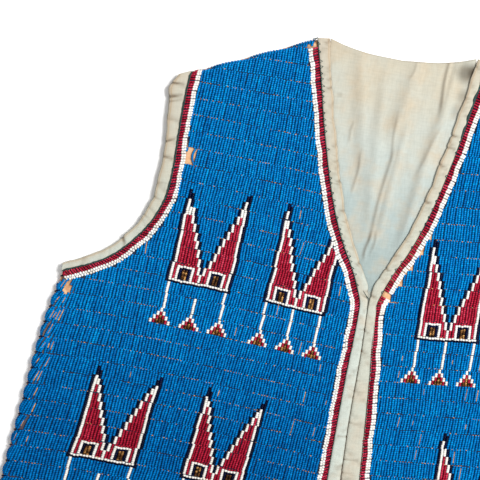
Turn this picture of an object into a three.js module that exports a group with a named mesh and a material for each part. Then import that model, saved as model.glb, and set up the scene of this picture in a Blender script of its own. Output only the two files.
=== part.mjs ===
// A fully beaded hide vest of the northern Plains, laid flat on its back. Millimetres, +Z up.
// X runs across the garment, from the wearer's right side (-X) to the left side (+X), and Y runs
// from the hem to the shoulders. The tables are written from the point where the V neck ends
// (X 0, Y 0), and the whole group is then moved so that its origin is under its middle.
import * as THREE from 'three';

// ---- driving dimensions -------------------------------------------------------------------------
const LANE = 11.42; // one lane of lane stitch: eight seed beads on a string
const LANE_HIGH = 11.78; // the same above the base of the upper figures, where the lanes are looser
const LOOSE_FROM = 3; // lanes above their feet
const LANES_BELOW = 26; // whole lanes from the feet of the upper figures down to the hem border
const FEET_LINE = -37.3; // the lane boundary that the upper figures stand on
const BORDER = 7.5; // the white and red lane that runs round every cut edge
const HEM = FEET_LINE - LANES_BELOW * LANE - BORDER;
const HEM_BINDING = 5.2; // width of the cotton binding beyond the hem
const NECK = { x: 63, y: 180.6 }; // where the shoulder fold meets the neck edge
const SHOULDER = { x: 149.3, y: 144.5 }; // where the shoulder fold meets the armhole
const UNDERARM = { x: 222.5, y: -11.7 };
const TOP = 181.4; // the highest point, the corner of the neck lining

const GAP = 0.3; // left between two pieces where they are sewn together
const BENT_GAP = 0.85; // the same, along the armhole's bend, where both edges run in short steps
const BACK_THICK = 3.0; // hide with its beadwork, as the fronts
const FRONT_THICK = 3.4;
const LINING_THICK = 1.0;
const BINDING_THICK = 2.3; // cotton turned over the edge and stitched
const FRONT_UNDER = BACK_THICK + GAP;
const FRONT_TOP = FRONT_UNDER + FRONT_THICK;
const LINING_UNDER = BACK_THICK + GAP;
const LINING_TOP = LINING_UNDER + LINING_THICK;
const GROOVE = 0.7; // depth of the valley between two lanes
const SCALLOP = 1.3; // how far a lane's end swells past the valley beside it
const FOLD_RADIUS = 3.1; // the side and the shoulder are folds, rounded over this radius

// Lanes are level at the side and fall towards the centre front. FALL is the slope at the centre, on
// the wearer's right and left front, LEVEL_AT how far out they are level. The fall fades towards the
// shoulder and the hem.
const FALL = { right: 0.108, left: 0.075 };
const LEVEL_AT = 215;
const FADE_UP = { from: 60, to: 195 };
const FADE_DOWN = { from: -200, to: HEM };

// The neck and centre edge of a front: x of the beadwork's edge, and of the binding's free edge.
const FRONT_EDGE = [
  { y: NECK.y, x: NECK.x, free: 53.8 },
  { y: 152.8, x: 56.5, free: 48.3 },
  { y: 124.0, x: 50.7, free: 42.2 },
  { y: 104.0, x: 46.0, free: 37.4 },
  { y: 72.0, x: 37.6, free: 29.2 },
  { y: 50.6, x: 30.3, free: 21.7 },
  { y: 34.8, x: 23.5, free: 14.8 },
  { y: 19.2, x: 15.3, free: 6.8 },
  { y: 6.2, x: 9.7, free: 1.7 },
  { y: -7.0, x: 5.9, free: 0.3 },
  { y: -60.0, x: 8.8, free: 0.3 },
  { y: -132.0, x: 11.7, free: 0.3 },
  { y: -240.0, x: 14.0, free: 0.3 },
  { y: HEM, x: 15.5, free: 0.3 },
];

// The armhole: the beadwork's edge, and the free edge of the binding beyond it.
const ARMHOLE = [
  { x: SHOULDER.x, y: SHOULDER.y, freeX: 158.4, freeY: 140.6 },
  { x: 150.4, y: 130.0, freeX: 163.6, freeY: 129.5 },
  { x: 151.4, y: 115.0, freeX: 162.4, freeY: 113.5 },
  { x: 151.8, y: 97.0, freeX: 161.2, freeY: 95.5 },
  { x: 152.0, y: 77.0, freeX: 161.6, freeY: 76.5 },
  { x: 154.4, y: 53.0, freeX: 163.6, freeY: 54.5 },
  { x: 158.2, y: 41.5, freeX: 166.2, freeY: 44.5 },
  { x: 163.0, y: 31.7, freeX: 170.0, freeY: 35.6 },
  { x: 172.0, y: 19.4, freeX: 177.2, freeY: 24.4 },
  { x: 181.5, y: 9.4, freeX: 185.2, freeY: 15.6 },
  { x: 191.4, y: 1.7, freeX: 194.2, freeY: 8.0 },
  { x: 204.5, y: -4.9, freeX: 207.0, freeY: 1.4 },
  { x: UNDERARM.x, y: UNDERARM.y, freeX: 222.2, freeY: -6.0 },
];

const SIDE = [
  { y: UNDERARM.y, x: UNDERARM.x },
  { y: -54, x: 231.6 },
  { y: -108, x: 238.5 },
  { y: -160, x: 245.0 },
  { y: -250, x: 254.5 },
  { y: HEM, x: 262.0 },
];

// The folded top edge of the lining behind the neck.
const NECKLINE = [
  { x: 0, y: 172.8 },
  { x: 23.5, y: 174.4 },
  { x: 41.0, y: 177.7 },
  { x: 53.0, y: TOP },
];

// Soft folds in the lining: a line from its top to its foot, how wide the fold is and how high.
const LINING_FOLDS = [
  { topX: 35.9, topY: 176, footX: 31.0, footY: 126, width: 5.0, height: 1.5 },
  { topX: 12.5, topY: 172, footX: 2.0, footY: 118, width: 8.0, height: 0.9 },
  { topX: 6.0, topY: 140, footX: -2.5, footY: 62, width: 7.0, height: 1.0 },
  { topX: -10.0, topY: 150, footX: -6.0, footY: 40, width: 9.0, height: 0.8 },
  { topX: -30.0, topY: 172, footX: -16.0, footY: 92, width: 8.0, height: 0.7 },
  { topX: 46.0, topY: 176, footX: 37.0, footY: 150, width: 5.0, height: 1.1 },
];

// Across a front, from an edge inwards: how far each column of points stands from the edge, and how
// far below the top of the lanes it lies at a bordered edge.
const EDGE_COLUMNS = [
  { in: 0.0, border: 2.3 },
  { in: 0.6, border: 0.35 },
  { in: 2.0, border: 0.0 },
  { in: 6.6, border: 0.0 },
  { in: BORDER, border: GROOVE },
  { in: 8.6, border: 0.0 },
];

// Up one lane: where each row of points lies, and how deep in the valley it is, from 0 to 1.
const LANE_ROWS = [
  { at: 0.0, deep: 1 },
  { at: 0.2, deep: 0 },
  { at: 0.8, deep: 0 },
];

// A binding's section, from the sewn edge to the free one: share of its width, share of its height.
const BINDING_SECTION = [
  { across: 0.0, up: 0.15 },
  { across: 0.02, up: 0.85 },
  { across: 0.22, up: 1.0 },
  { across: 0.7, up: 0.92 },
  { across: 0.94, up: 0.62 },
  { across: 1.0, up: 0.3 },
  { across: 0.95, up: 0.0 },
  { across: 0.05, up: 0.0 },
];

// ---- curves -------------------------------------------------------------------------------------
const clamp = THREE.MathUtils.clamp;
const lerp = THREE.MathUtils.lerp;
const ease = (value, from, to) => THREE.MathUtils.smoothstep(value, from, to);

// A smooth curve through a table: column `value` as a function of column `along`, never overshooting.
function curve(table, along, value) {
  const rows = [...table].sort((a, b) => a[along] - b[along]);
  const last = rows.length - 1;
  const slopes = rows.slice(1).map((r, i) => (r[value] - rows[i][value]) / (r[along] - rows[i][along]));
  const tangents = rows.map((_, i) => {
    if (i === 0 || i === last) return slopes[Math.min(i, last - 1)];
    const [a, b] = [slopes[i - 1], slopes[i]];
    return a * b <= 0 ? 0 : (2 * a * b) / (a + b);
  });
  return (s) => {
    let i = 0;
    while (i < last - 1 && s > rows[i + 1][along]) i += 1;
    const span = rows[i + 1][along] - rows[i][along];
    const u = clamp((s - rows[i][along]) / span, 0, 1);
    const [p, q] = [rows[i][value], rows[i + 1][value]];
    const [m, n] = [tangents[i] * span, tangents[i + 1] * span];
    return (
      p * (1 + 2 * u) * (1 - u) ** 2 + m * u * (1 - u) ** 2 + q * u * u * (3 - 2 * u) - n * u * u * (1 - u)
    );
  };
}

const frontEdge = curve(FRONT_EDGE, 'y', 'x');
const bindingFree = curve(FRONT_EDGE, 'y', 'free');
const armhole = curve(ARMHOLE, 'y', 'x');
const side = curve(SIDE, 'y', 'x');
const neckline = curve(NECKLINE, 'x', 'y');

// The half outline of the garment, away from the centre, at a height.
function outline(y) {
  if (y > SHOULDER.y) {
    const up = (y - SHOULDER.y) / (NECK.y - SHOULDER.y);
    return lerp(SHOULDER.x, NECK.x, up);
  }
  return y > UNDERARM.y ? armhole(y) : side(y);
}

// How much longer a level step to the outline is than the straight way there.
function slant(y, edge) {
  const step = 0.8;
  const at = clamp(y, HEM + step, NECK.y - step);
  return Math.hypot(1, (edge(at + step) - edge(at - step)) / (2 * step));
}

// The level of a lane line, from the count of lanes above the feet of the upper figures.
function laneLine(count) {
  return FEET_LINE + count * LANE + Math.max(count - LOOSE_FROM, 0) * (LANE_HIGH - LANE);
}

// A lane that is at `t` where it is level, followed to the distance x from the centre.
function laneHeight(x, t, fall) {
  const far = Math.min(x, LEVEL_AT * 1.2);
  const drop = fall * ((2 * LEVEL_AT) / 3 - far + far ** 3 / (3 * LEVEL_AT ** 2));
  if (t - drop > FADE_UP.from) {
    const rate = 1 / (FADE_UP.to - FADE_UP.from);
    return (t - drop * (1 + rate * FADE_UP.from)) / (1 - drop * rate);
  }
  if (t - drop < FADE_DOWN.from) {
    const rate = 1 / (FADE_DOWN.from - FADE_DOWN.to);
    return (t - drop * (1 - rate * FADE_DOWN.from)) / (1 + drop * rate);
  }
  return t - drop;
}

// Where a lane line meets an edge given as a function of height.
function meet(t, fall, edge, start) {
  let x = start;
  for (let turn = 0; turn < 60; turn += 1) x = lerp(x, edge(laneHeight(x, t, fall)), 0.6);
  return x;
}

// ---- solids -------------------------------------------------------------------------------------
// Triangles between two chains of points that run side by side, with any number of points each.
function zip(points, first, second, faces) {
  const shares = (chain) => {
    const lengths = [0];
    for (let i = 1; i < chain.length; i += 1) {
      lengths.push(lengths[i - 1] + points[chain[i]].distanceTo(points[chain[i - 1]]));
    }
    return lengths.map((length) => length / lengths[lengths.length - 1]);
  };
  const [a, b] = [shares(first), shares(second)];
  let [i, j] = [0, 0];
  while (i < first.length - 1 || j < second.length - 1) {
    const advanceFirst = j === second.length - 1 || (i < first.length - 1 && a[i + 1] <= b[j + 1]);
    if (advanceFirst) {
      faces.push(first[i], first[i + 1], second[j]);
      i += 1;
    } else {
      faces.push(first[i], second[j + 1], second[j]);
      j += 1;
    }
  }
}

function meshOf(name, points, faces, material) {
  const geometry = new THREE.BufferGeometry();
  geometry.setAttribute('position', new THREE.Float32BufferAttribute(points.flatMap((p) => p.toArray()), 3));
  geometry.setIndex(faces);
  geometry.computeVertexNormals();
  const mesh = new THREE.Mesh(geometry, material);
  mesh.name = name;
  return mesh;
}

// Collects the points and faces of one body: grids of points, and the sheets that cover them.
function bodyMaker() {
  const points = [];
  const faces = [];
  const numbered = (grid) => grid.map((row) => row.map((p) => points.push(p) - 1));
  const cover = (grid, up) => {
    for (let r = 0; r < grid.length - 1; r += 1) {
      for (let c = 0; c < grid[r].length - 1; c += 1) {
        const [p, q, s, t] = [grid[r][c], grid[r][c + 1], grid[r + 1][c + 1], grid[r + 1][c]];
        faces.push(...(up ? [p, q, s, p, s, t] : [p, s, q, p, t, s]));
      }
    }
  };
  return { points, faces, numbered, cover };
}

// A wall between an upper and a lower grid of points, each a list of rows from hem to shoulder with
// X growing along a row. The two may have different numbers of rows and columns.
function wall(name, upper, lower, material) {
  const { points, faces, numbered, cover } = bodyMaker();
  const [top, under] = [numbered(upper), numbered(lower)];
  cover(top, true);
  cover(under, false);
  const column = (grid, end) => grid.map((row) => row[end === 'first' ? 0 : row.length - 1]);
  zip(points, under[0], top[0], faces);
  zip(points, column(under, 'last'), column(top, 'last'), faces);
  zip(points, [...under[under.length - 1]].reverse(), [...top[top.length - 1]].reverse(), faces);
  zip(points, column(under, 'first').reverse(), column(top, 'first').reverse(), faces);
  return meshOf(name, points, faces, material);
}

// A closed strip through rings of points, each ring in the same turning sense.
function strip(name, rings, material, mirrored) {
  const points = rings.flat();
  const count = rings[0].length;
  const faces = [];
  const add = (p, q, s) => faces.push(...(mirrored ? [p, s, q] : [p, q, s]));
  for (let r = 0; r < rings.length - 1; r += 1) {
    for (let i = 0; i < count; i += 1) {
      const [p, q] = [r * count + i, r * count + ((i + 1) % count)];
      add(p, p + count, q);
      add(q, p + count, q + count);
    }
  }
  const end = (rings.length - 1) * count;
  for (let i = 1; i < count - 1; i += 1) {
    add(0, i, i + 1);
    add(end, end + i + 1, end + i);
  }
  return meshOf(name, points, faces, material);
}

// ---- materials ----------------------------------------------------------------------------------
const paint = (color, roughness) => new THREE.MeshStandardMaterial({ color, roughness, metalness: 0 });
const beadwork = paint('#0a6fb8', 0.35);
const cotton = paint('#cdc9b9', 0.9);
const liningCloth = paint('#dcdacd', 0.92);

// ---- fronts -------------------------------------------------------------------------------------
// The columns of one row of a front, from its inner edge at `near` to its outer edge at `far`.
function columnsAcross(near, far, nearSlant, farSlant) {
  const width = far - near;
  const last = EDGE_COLUMNS[EDGE_COLUMNS.length - 1].in;
  const squeeze = Math.min(1, width / (2.6 * last * Math.max(nearSlant, farSlant)));
  const inner = EDGE_COLUMNS.map((c) => ({ ...c, x: near + c.in * nearSlant * squeeze, edge: 'near' }));
  const outer = EDGE_COLUMNS.map((c) => ({ ...c, x: far - c.in * farSlant * squeeze, edge: 'far' }));
  const [from, to] = [inner[inner.length - 1].x, outer[outer.length - 1].x];
  const middle = { x: lerp(from, to, 0.5), in: last, border: 0, edge: 'none' };
  return [...inner, middle, ...outer.reverse()];
}

// How far below the flat top of the lanes a point of the upper side lies.
function below(column, deep, folded) {
  const inLanes = column.edge === 'none' || column.in > BORDER;
  if (column.edge === 'far' && folded) {
    const share = clamp(1 - column.in / FOLD_RADIUS, 0, 1);
    return Math.max(FOLD_RADIUS * (1 - Math.sqrt(1 - share * share)), deep * GROOVE * (1 - share));
  }
  return inLanes ? deep * GROOVE : column.border;
}

// The rows of points up a front: the hem border, then the lanes.
function laneRowsOf(fall) {
  const topRow = meetTop(fall);
  const rows = [
    { t: HEM, deep: 0, drop: 2.3 },
    { t: HEM + 0.6, deep: 0, drop: 0.35 },
    { t: HEM + BORDER - 0.9, deep: 0, drop: 0 },
  ];
  for (let lane = -LANES_BELOW; ; lane += 1) {
    for (const row of LANE_ROWS) {
      const t = laneLine(lane + row.at);
      if (t > topRow - 1.2) {
        rows.push({ t: topRow, deep: 0, drop: 0 });
        return rows;
      }
      rows.push({ t, deep: row.deep, drop: 0 });
    }
  }
}

// The lane height that passes just under the neck end of the shoulder fold.
function meetTop(fall) {
  let t = NECK.y;
  while (laneHeight(NECK.x, t, fall) < NECK.y - 0.9) t += 0.05;
  return t;
}

function frontPanel(name, sign, fall) {
  const upper = laneRowsOf(fall).map((row) => {
    const near = meet(row.t, fall, frontEdge, 30);
    const edge = meet(row.t, fall, outline, 150);
    const height = laneHeight(edge, row.t, fall);
    const folded = height > SHOULDER.y - 0.5 || height < UNDERARM.y + 0.5;
    const far = edge - (folded ? row.deep * SCALLOP : 0);
    const nearSlant = slant(laneHeight(near, row.t, fall), frontEdge);
    return columnsAcross(near, far, nearSlant, slant(height, outline)).map((column) => {
      const down = Math.max(below(column, row.deep, folded), row.drop);
      return new THREE.Vector3(sign * column.x, laneHeight(column.x, row.t, fall), FRONT_TOP - down);
    });
  });
  const lower = laneRowsOf(fall).filter((row, i, all) => row.deep === 1 || i === 0 || i === all.length - 1);
  const under = lower.map((row) => {
    const near = meet(row.t, fall, frontEdge, 30);
    const far = meet(row.t, fall, outline, 150) - SCALLOP;
    return [0, 1 / 3, 2 / 3, 1].map((share) => {
      const x = lerp(near, far, share);
      return new THREE.Vector3(sign * x, laneHeight(x, row.t, fall), FRONT_UNDER);
    });
  });
  const turned = (grid) => (sign < 0 ? grid.map((row) => [...row].reverse()) : grid);
  return wall(name, turned(upper), turned(under), beadwork);
}

// ---- back ---------------------------------------------------------------------------------------
// The top line of the back: the shoulder folds, and between them the neckline under the lining.
function backTop(x) {
  const away = Math.abs(x);
  const corner = NECKLINE[NECKLINE.length - 1];
  if (away >= NECK.x) return lerp(NECK.y, SHOULDER.y, (away - NECK.x) / (SHOULDER.x - NECK.x));
  if (away > corner.x) return lerp(corner.y - 2.2, NECK.y, (away - corner.x) / (NECK.x - corner.x));
  return neckline(away) - 2.2;
}

function backPanel() {
  const ARMHOLE_SHORT = 0.4; // keeps its straight steps clear of the curved binding
  const ACROSS = [-1, -0.86, -0.64, -0.41, -0.27, -0.16, 0, 0.16, 0.27, 0.41, 0.64, 0.86, 1];
  const SIDE_ROWS = 12;
  const levels = [];
  for (let r = 0; r < SIDE_ROWS; r += 1) levels.push(lerp(HEM, UNDERARM.y, r / SIDE_ROWS));
  for (let i = ARMHOLE.length - 1; i > 0; i -= 1) {
    levels.push(ARMHOLE[i].y, (ARMHOLE[i].y + ARMHOLE[i - 1].y) / 2);
  }
  levels.push(SHOULDER.y);
  const layer = (inset, z) =>
    levels.map((level) => {
      const up = (level - HEM) / (SHOULDER.y - HEM);
      const short = level > UNDERARM.y + 1 ? ARMHOLE_SHORT : 0;
      return ACROSS.map((share) => {
        const top = backTop(share * SHOULDER.x);
        return new THREE.Vector3(
          share * (outline(level) - (short + inset) * slant(level, outline)),
          lerp(HEM + inset, top - inset, up), z,
        );
      });
    });
  // The edge rounds up from the flat underside in two steps, so that the side and shoulder folds
  // are as round below as the fronts are above.
  const { points, faces, numbered, cover } = bodyMaker();
  const loops = (grid) => [
    ...grid[0],
    ...grid.slice(1).map((row) => row[row.length - 1]),
    ...[...grid[grid.length - 1]].reverse().slice(1),
    ...grid.slice(1, -1).map((row) => row[0]).reverse(),
  ];
  const under = numbered(layer(2.4, 0));
  const lowRim = numbered(layer(0.7, 0.7));
  const rim = numbered(layer(0, 1.9));
  const top = numbered(layer(0.5, BACK_THICK));
  cover(top, true);
  cover(under, false);
  const rings = [under, lowRim, rim, top].map(loops);
  for (let level = 0; level < rings.length - 1; level += 1) {
    const [low, high] = [rings[level], rings[level + 1]];
    low.forEach((p, i) => {
      const next = (i + 1) % low.length;
      faces.push(p, low[next], high[i], low[next], high[next], high[i]);
    });
  }
  return compacted('back', points, faces, beadwork);
}

// Leaves out the points that no face uses.
function compacted(name, points, faces, material) {
  const used = [...new Set(faces)].sort((a, b) => a - b);
  const place = new Map(used.map((old, now) => [old, now]));
  return meshOf(name, used.map((i) => points[i]), faces.map((i) => place.get(i)), material);
}

// ---- lining -------------------------------------------------------------------------------------
function foldHeight(x, y) {
  let height = 0;
  for (const fold of LINING_FOLDS) {
    const along = (fold.topY - y) / (fold.topY - fold.footY);
    const centre = lerp(fold.topX, fold.footX, along);
    const fade = ease(along, -0.35, 0.15) * (1 - ease(along, 0.7, 1.25));
    const away = (x - centre) / (fold.width / 2);
    height += fold.height * fade * Math.exp(-away * away);
  }
  return height;
}

function backLining() {
  const FOOT = -12;
  const ROWS = 26;
  const COLUMNS = 30;
  const UNDER_BINDING = 2.2; // the lining ends under the binding, this far from the beadwork's edge
  const grid = (rows, columns, height) => {
    const out = [];
    for (let r = 0; r <= rows; r += 1) {
      const up = r / rows;
      const level = lerp(FOOT, NECK.y - 1, up);
      const half = frontEdge(level) - UNDER_BINDING;
      const line = [];
      for (let c = 0; c <= columns; c += 1) {
        const share = (2 * c) / columns - 1;
        const topX = share * NECKLINE[NECKLINE.length - 1].x;
        const x = lerp(share * half, topX, ease(up, 0.8, 1));
        const y = lerp(FOOT, neckline(Math.abs(topX)), up);
        line.push(new THREE.Vector3(x, y, height(x, y, half)));
      }
      out.push(line);
    }
    return out;
  };
  const roll = (y, x) => 0.45 * ease(y, neckline(Math.abs(x)) - 5, neckline(Math.abs(x)) - 1);
  const upper = grid(ROWS, COLUMNS, (x, y, half) => {
    const clear = 1 - ease(Math.abs(x), Math.max(half - 12, 0), Math.max(half - 5, 0.1));
    return LINING_TOP + (foldHeight(x, y) + roll(y, x)) * clear * ease(y, 12, 40);
  });
  return wall('back_lining', upper, grid(8, 8, () => LINING_UNDER), liningCloth);
}

// ---- bindings -----------------------------------------------------------------------------------
// One ring of a binding, between its sewn edge and its free edge.
function bindingRing(sewn, free, under, thick) {
  return BINDING_SECTION.map((corner) => {
    const flat = sewn.clone().lerp(free, corner.across);
    return new THREE.Vector3(flat.x, flat.y, under + thick * corner.up);
  });
}

// The binding of the neck and the centre edge of a front.
function frontBinding(name, sign) {
  const END = HEM - GAP - HEM_BINDING;
  const LINED = -16; // the lining's foot ends above this height, and the binding then comes down
  const stations = [];
  for (let y = NECK.y - 0.2; y > 20; y -= 7.4) stations.push(y);
  for (let y = 18; y > -20; y -= 4.6) stations.push(y);
  for (let y = -24; y > HEM; y -= 24) stations.push(y);
  stations.push(END);
  const rings = stations.map((y) => {
    const lift = (TOP - NECK.y) * ease(y, NECK.y - 22, NECK.y);
    const sewn = new THREE.Vector2(sign * (frontEdge(y) - GAP * slant(y, frontEdge)), y);
    const free = new THREE.Vector2(sign * bindingFree(y), y + lift);
    const under = lerp(FRONT_UNDER, LINING_TOP + GAP, ease(y, LINED - 26, LINED));
    return bindingRing(sewn, free, under, Math.min(BINDING_THICK, FRONT_TOP - under));
  });
  return strip(name, rings, cotton, sign > 0);
}

// The bindings of an armhole, one on the front and one below it on the back.
function armholeBinding(name, sign, under) {
  const freeLine = new THREE.CatmullRomCurve3(
    ARMHOLE.map((row) => new THREE.Vector3(row.freeX, row.freeY, 0)), false, 'centripetal',
  );
  const SPANS = 2; // between two rows of the table
  const count = (ARMHOLE.length - 1) * SPANS;
  const rings = [];
  for (let i = 0; i <= count; i += 1) {
    const row = Math.min(Math.floor(i / SPANS), ARMHOLE.length - 2);
    const y = lerp(ARMHOLE[row].y, ARMHOLE[row + 1].y, i / SPANS - row);
    const edge = new THREE.Vector3(armhole(y), y, 0);
    const free = freeLine.getPoint(i / count);
    const sewn = edge.clone().add(free.clone().sub(edge).setLength(BENT_GAP));
    rings.push(
      bindingRing(
        new THREE.Vector2(sign * sewn.x, sewn.y), new THREE.Vector2(sign * free.x, free.y),
        under, BINDING_THICK,
      ),
    );
  }
  return strip(name, rings, cotton, sign < 0);
}

// A hem binding between two distances from the centre, along the straight hem.
function hemBinding(name, from, to, under, thick) {
  const SPANS = 4;
  const rings = [];
  for (let i = 0; i <= SPANS; i += 1) {
    const x = lerp(from, to, i / SPANS);
    const sewn = new THREE.Vector2(x, HEM - GAP);
    rings.push(bindingRing(sewn, new THREE.Vector2(x, HEM - GAP - HEM_BINDING), under, thick));
  }
  return strip(name, rings, cotton, true);
}

// ---- the vest -----------------------------------------------------------------------------------
const vest = new THREE.Group();
const BACK_BINDING_UNDER = 0.25;
const HEM_END = outline(HEM) - 2.2;
const CENTRE_END = frontEdge(HEM) + GAP;
vest.add(backPanel(), backLining());
for (const [wearer, sign] of [['right', -1], ['left', 1]]) {
  vest.add(
    frontPanel(`${wearer}_front`, sign, FALL[wearer]),
    frontBinding(`${wearer}_front_binding`, sign),
    armholeBinding(`${wearer}_armhole_binding`, sign, FRONT_UNDER),
    armholeBinding(`${wearer}_back_armhole_binding`, sign, BACK_BINDING_UNDER),
    hemBinding(
      `${wearer}_hem_binding`,
      sign < 0 ? -HEM_END : CENTRE_END, sign < 0 ? -CENTRE_END : HEM_END, FRONT_UNDER, BINDING_THICK,
    ),
  );
}
vest.add(hemBinding('back_hem_binding', -HEM_END, HEM_END, BACK_BINDING_UNDER, BINDING_THICK));
vest.position.y = -(TOP + HEM - GAP - HEM_BINDING) / 2;

export default vest;
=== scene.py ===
# %% [markdown]
# A beaded hide vest, finished over its fixed frame.
# The frame holds every cut piece at its real size. This script dresses each one: tanned hide with
# glass seed beads sewn in lanes, cotton tape on the cut edges, and the cotton lining behind the neck.
# The frame's own pieces could be painted instead, but beads and cloth need finer shapes than they have.
# We load it first.

# %% Load the frame
import math

import bmesh
import bpy
import numpy as np
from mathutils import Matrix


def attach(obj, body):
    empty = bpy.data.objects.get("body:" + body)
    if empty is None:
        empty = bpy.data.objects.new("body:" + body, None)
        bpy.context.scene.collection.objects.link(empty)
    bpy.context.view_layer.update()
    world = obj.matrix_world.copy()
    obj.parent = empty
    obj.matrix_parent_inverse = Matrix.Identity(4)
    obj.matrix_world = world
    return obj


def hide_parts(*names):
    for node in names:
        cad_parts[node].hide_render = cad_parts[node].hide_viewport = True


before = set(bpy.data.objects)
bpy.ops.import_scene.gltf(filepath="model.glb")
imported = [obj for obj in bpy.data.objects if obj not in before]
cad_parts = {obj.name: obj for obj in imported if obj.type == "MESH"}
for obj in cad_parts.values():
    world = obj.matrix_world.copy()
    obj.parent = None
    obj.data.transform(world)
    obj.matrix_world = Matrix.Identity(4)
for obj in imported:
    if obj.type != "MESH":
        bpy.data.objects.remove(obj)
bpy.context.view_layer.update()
BODY = "root"
print("frame nodes:", len(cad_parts))

# %% [markdown]
# A vest is drafted flat, so its sizes are lengths on a table: X across, Y from hem to shoulder.
# We could take points off the frame's meshes, but a maker works from a short list of lengths, and that
# is easier to change. They are in millimetres from the point where the V neck ends, and one function
# turns them into metres of the frame. Named sizes come first, then short tables of the edges.

# %% Sizes of the cut
MM = 0.001
LANE = 11.42  # one lane: eight beads on a string
LANE_HIGH = 11.78  # the same, above the base of the upper figures, where the lanes are looser
LOOSE_FROM = 3  # lanes above their feet
LANES_BELOW, LANES_ABOVE = 26, 20  # lanes below and above the line that the upper figures stand on
BEADS = 8
RIB = 2.0  # from one string to the next
FEET_LINE = -37.3  # the lane boundary that the upper figures stand on
BORDER = 7.5  # the white and red lane along every cut edge
HEM = FEET_LINE - LANES_BELOW * LANE - BORDER
HEM_TAPE = 5.2
SEAM = 0.3  # left between two pieces where they meet
TOP = 181.4  # the corner of the lining, the highest point
NECK = (63.0, 180.6)  # where the shoulder meets the neck
SHOULDER = (149.3, 144.5)  # where it meets the armhole
UNDERARM = (222.5, -11.7)
BACK_TOP = 3.0  # upper side of the back
FRONT_UNDER = 3.3  # underside of the fronts
FRONT_TOP = 6.7  # crowns of the lanes
GROOVE = 0.7  # depth of the valley between two lanes
FOLD = 3.35  # the side and shoulder folds turn round this radius
RISE = -(TOP + HEM - SEAM - HEM_TAPE) / 2  # from the drafting point to the frame's origin

FRONT_EDGE = np.array([  # y, x of the beadwork's edge, x of the tape's free edge
    (NECK[1], NECK[0], 53.8), (152.8, 56.5, 48.3), (124.0, 50.7, 42.2), (104.0, 46.0, 37.4),
    (72.0, 37.6, 29.2), (50.6, 30.3, 21.7), (34.8, 23.5, 14.8), (19.2, 15.3, 6.8),
    (6.2, 9.7, 1.7), (-7.0, 5.9, 0.3), (-60.0, 8.8, 0.3), (-132.0, 11.7, 0.3),
    (-240.0, 14.0, 0.3), (HEM, 15.5, 0.3),
])
ARMHOLE = np.array([  # x, y of the beadwork's edge, x, y of the tape's free edge
    (*SHOULDER, 158.4, 140.6), (150.4, 130.0, 163.6, 129.5), (151.4, 115.0, 162.4, 113.5),
    (151.8, 97.0, 161.2, 95.5), (152.0, 77.0, 161.6, 76.5), (154.4, 53.0, 163.6, 54.5),
    (158.2, 41.5, 166.2, 44.5), (163.0, 31.7, 170.0, 35.6), (172.0, 19.4, 177.2, 24.4),
    (181.5, 9.4, 185.2, 15.6), (191.4, 1.7, 194.2, 8.0), (204.5, -4.9, 207.0, 1.4),
    (*UNDERARM, 222.2, -6.0),
])
SIDE = np.array([  # y, x
    (UNDERARM[1], UNDERARM[0]), (-54, 231.6), (-108, 238.5), (-160, 245.0), (-250, 254.5), (HEM, 262.0),
])
NECKLINE = np.array([(0, 172.8), (23.5, 174.4), (41.0, 177.7), (53.0, TOP)])  # x, y
print("length and half width at the hem in mm:", round(NECK[1] - HEM, 1), SIDE[-1, 1])

# %% [markdown]
# Edges between the measured points should run smoothly and never bulge past them, as a pattern cutter
# draws them with a curved ruler. A spline could overshoot. A cubic whose slope at each point is the
# harmonic mean of its neighbours doesn't, and it can be read at any height.

# %% Smooth edges
def smooth_curve(at, value):
    """A smooth curve through the points, as a function."""
    order = np.argsort(at)
    at, value = np.asarray(at, float)[order], np.asarray(value, float)[order]
    slope = np.diff(value) / np.diff(at)
    both = slope[:-1] * slope[1:]
    inner = np.where(both > 0, 2 * both / np.where(both > 0, slope[:-1] + slope[1:], 1), 0)
    tangent = np.concatenate([slope[:1], inner, slope[-1:]])

    def read(s):
        s = np.asarray(s, float)
        i = np.clip(np.searchsorted(at, s, side="right") - 1, 0, len(at) - 2)
        span = at[i + 1] - at[i]
        u = np.clip((s - at[i]) / span, 0, 1)
        start = value[i] * (1 + 2 * u) * (1 - u) ** 2 + tangent[i] * span * u * (1 - u) ** 2
        end = value[i + 1] * u * u * (3 - 2 * u) - tangent[i + 1] * span * u * u * (1 - u)
        return start + end

    return read


def ease(value, low, high):
    u = np.clip((value - low) / (high - low), 0, 1)
    return u * u * (3 - 2 * u)


def mix(a, b, share):
    return a + (b - a) * share


front_edge = smooth_curve(FRONT_EDGE[:, 0], FRONT_EDGE[:, 1])
tape_edge = smooth_curve(FRONT_EDGE[:, 0], FRONT_EDGE[:, 2])
armhole_edge = smooth_curve(ARMHOLE[:, 1], ARMHOLE[:, 0])
side_edge = smooth_curve(SIDE[:, 0], SIDE[:, 1])
neckline = smooth_curve(NECKLINE[:, 0], NECKLINE[:, 1])


def outline(y):
    """Half the width of the vest at a height, over shoulder, armhole and side."""
    y = np.asarray(y, float)
    up = np.clip((y - SHOULDER[1]) / (NECK[1] - SHOULDER[1]), 0, 1)
    shoulder = mix(SHOULDER[0], NECK[0], up)
    low = np.where(y > UNDERARM[1], armhole_edge(y), side_edge(y))
    return np.where(y > SHOULDER[1], shoulder, low)


print("half width at the underarm and hem:", float(outline(UNDERARM[1])), float(outline(HEM)))

# %% [markdown]
# Lane stitch runs across the panel in bands. Here the bands are level at the side and sink towards the
# centre front, more on the wearer's right front than on the left, and they level out again towards
# the shoulder and the hem. A bend could be put on a finished flat panel, but then the beads would be
# bent too. One function gives a lane's height, another its inverse, and the beads follow them.

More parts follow.
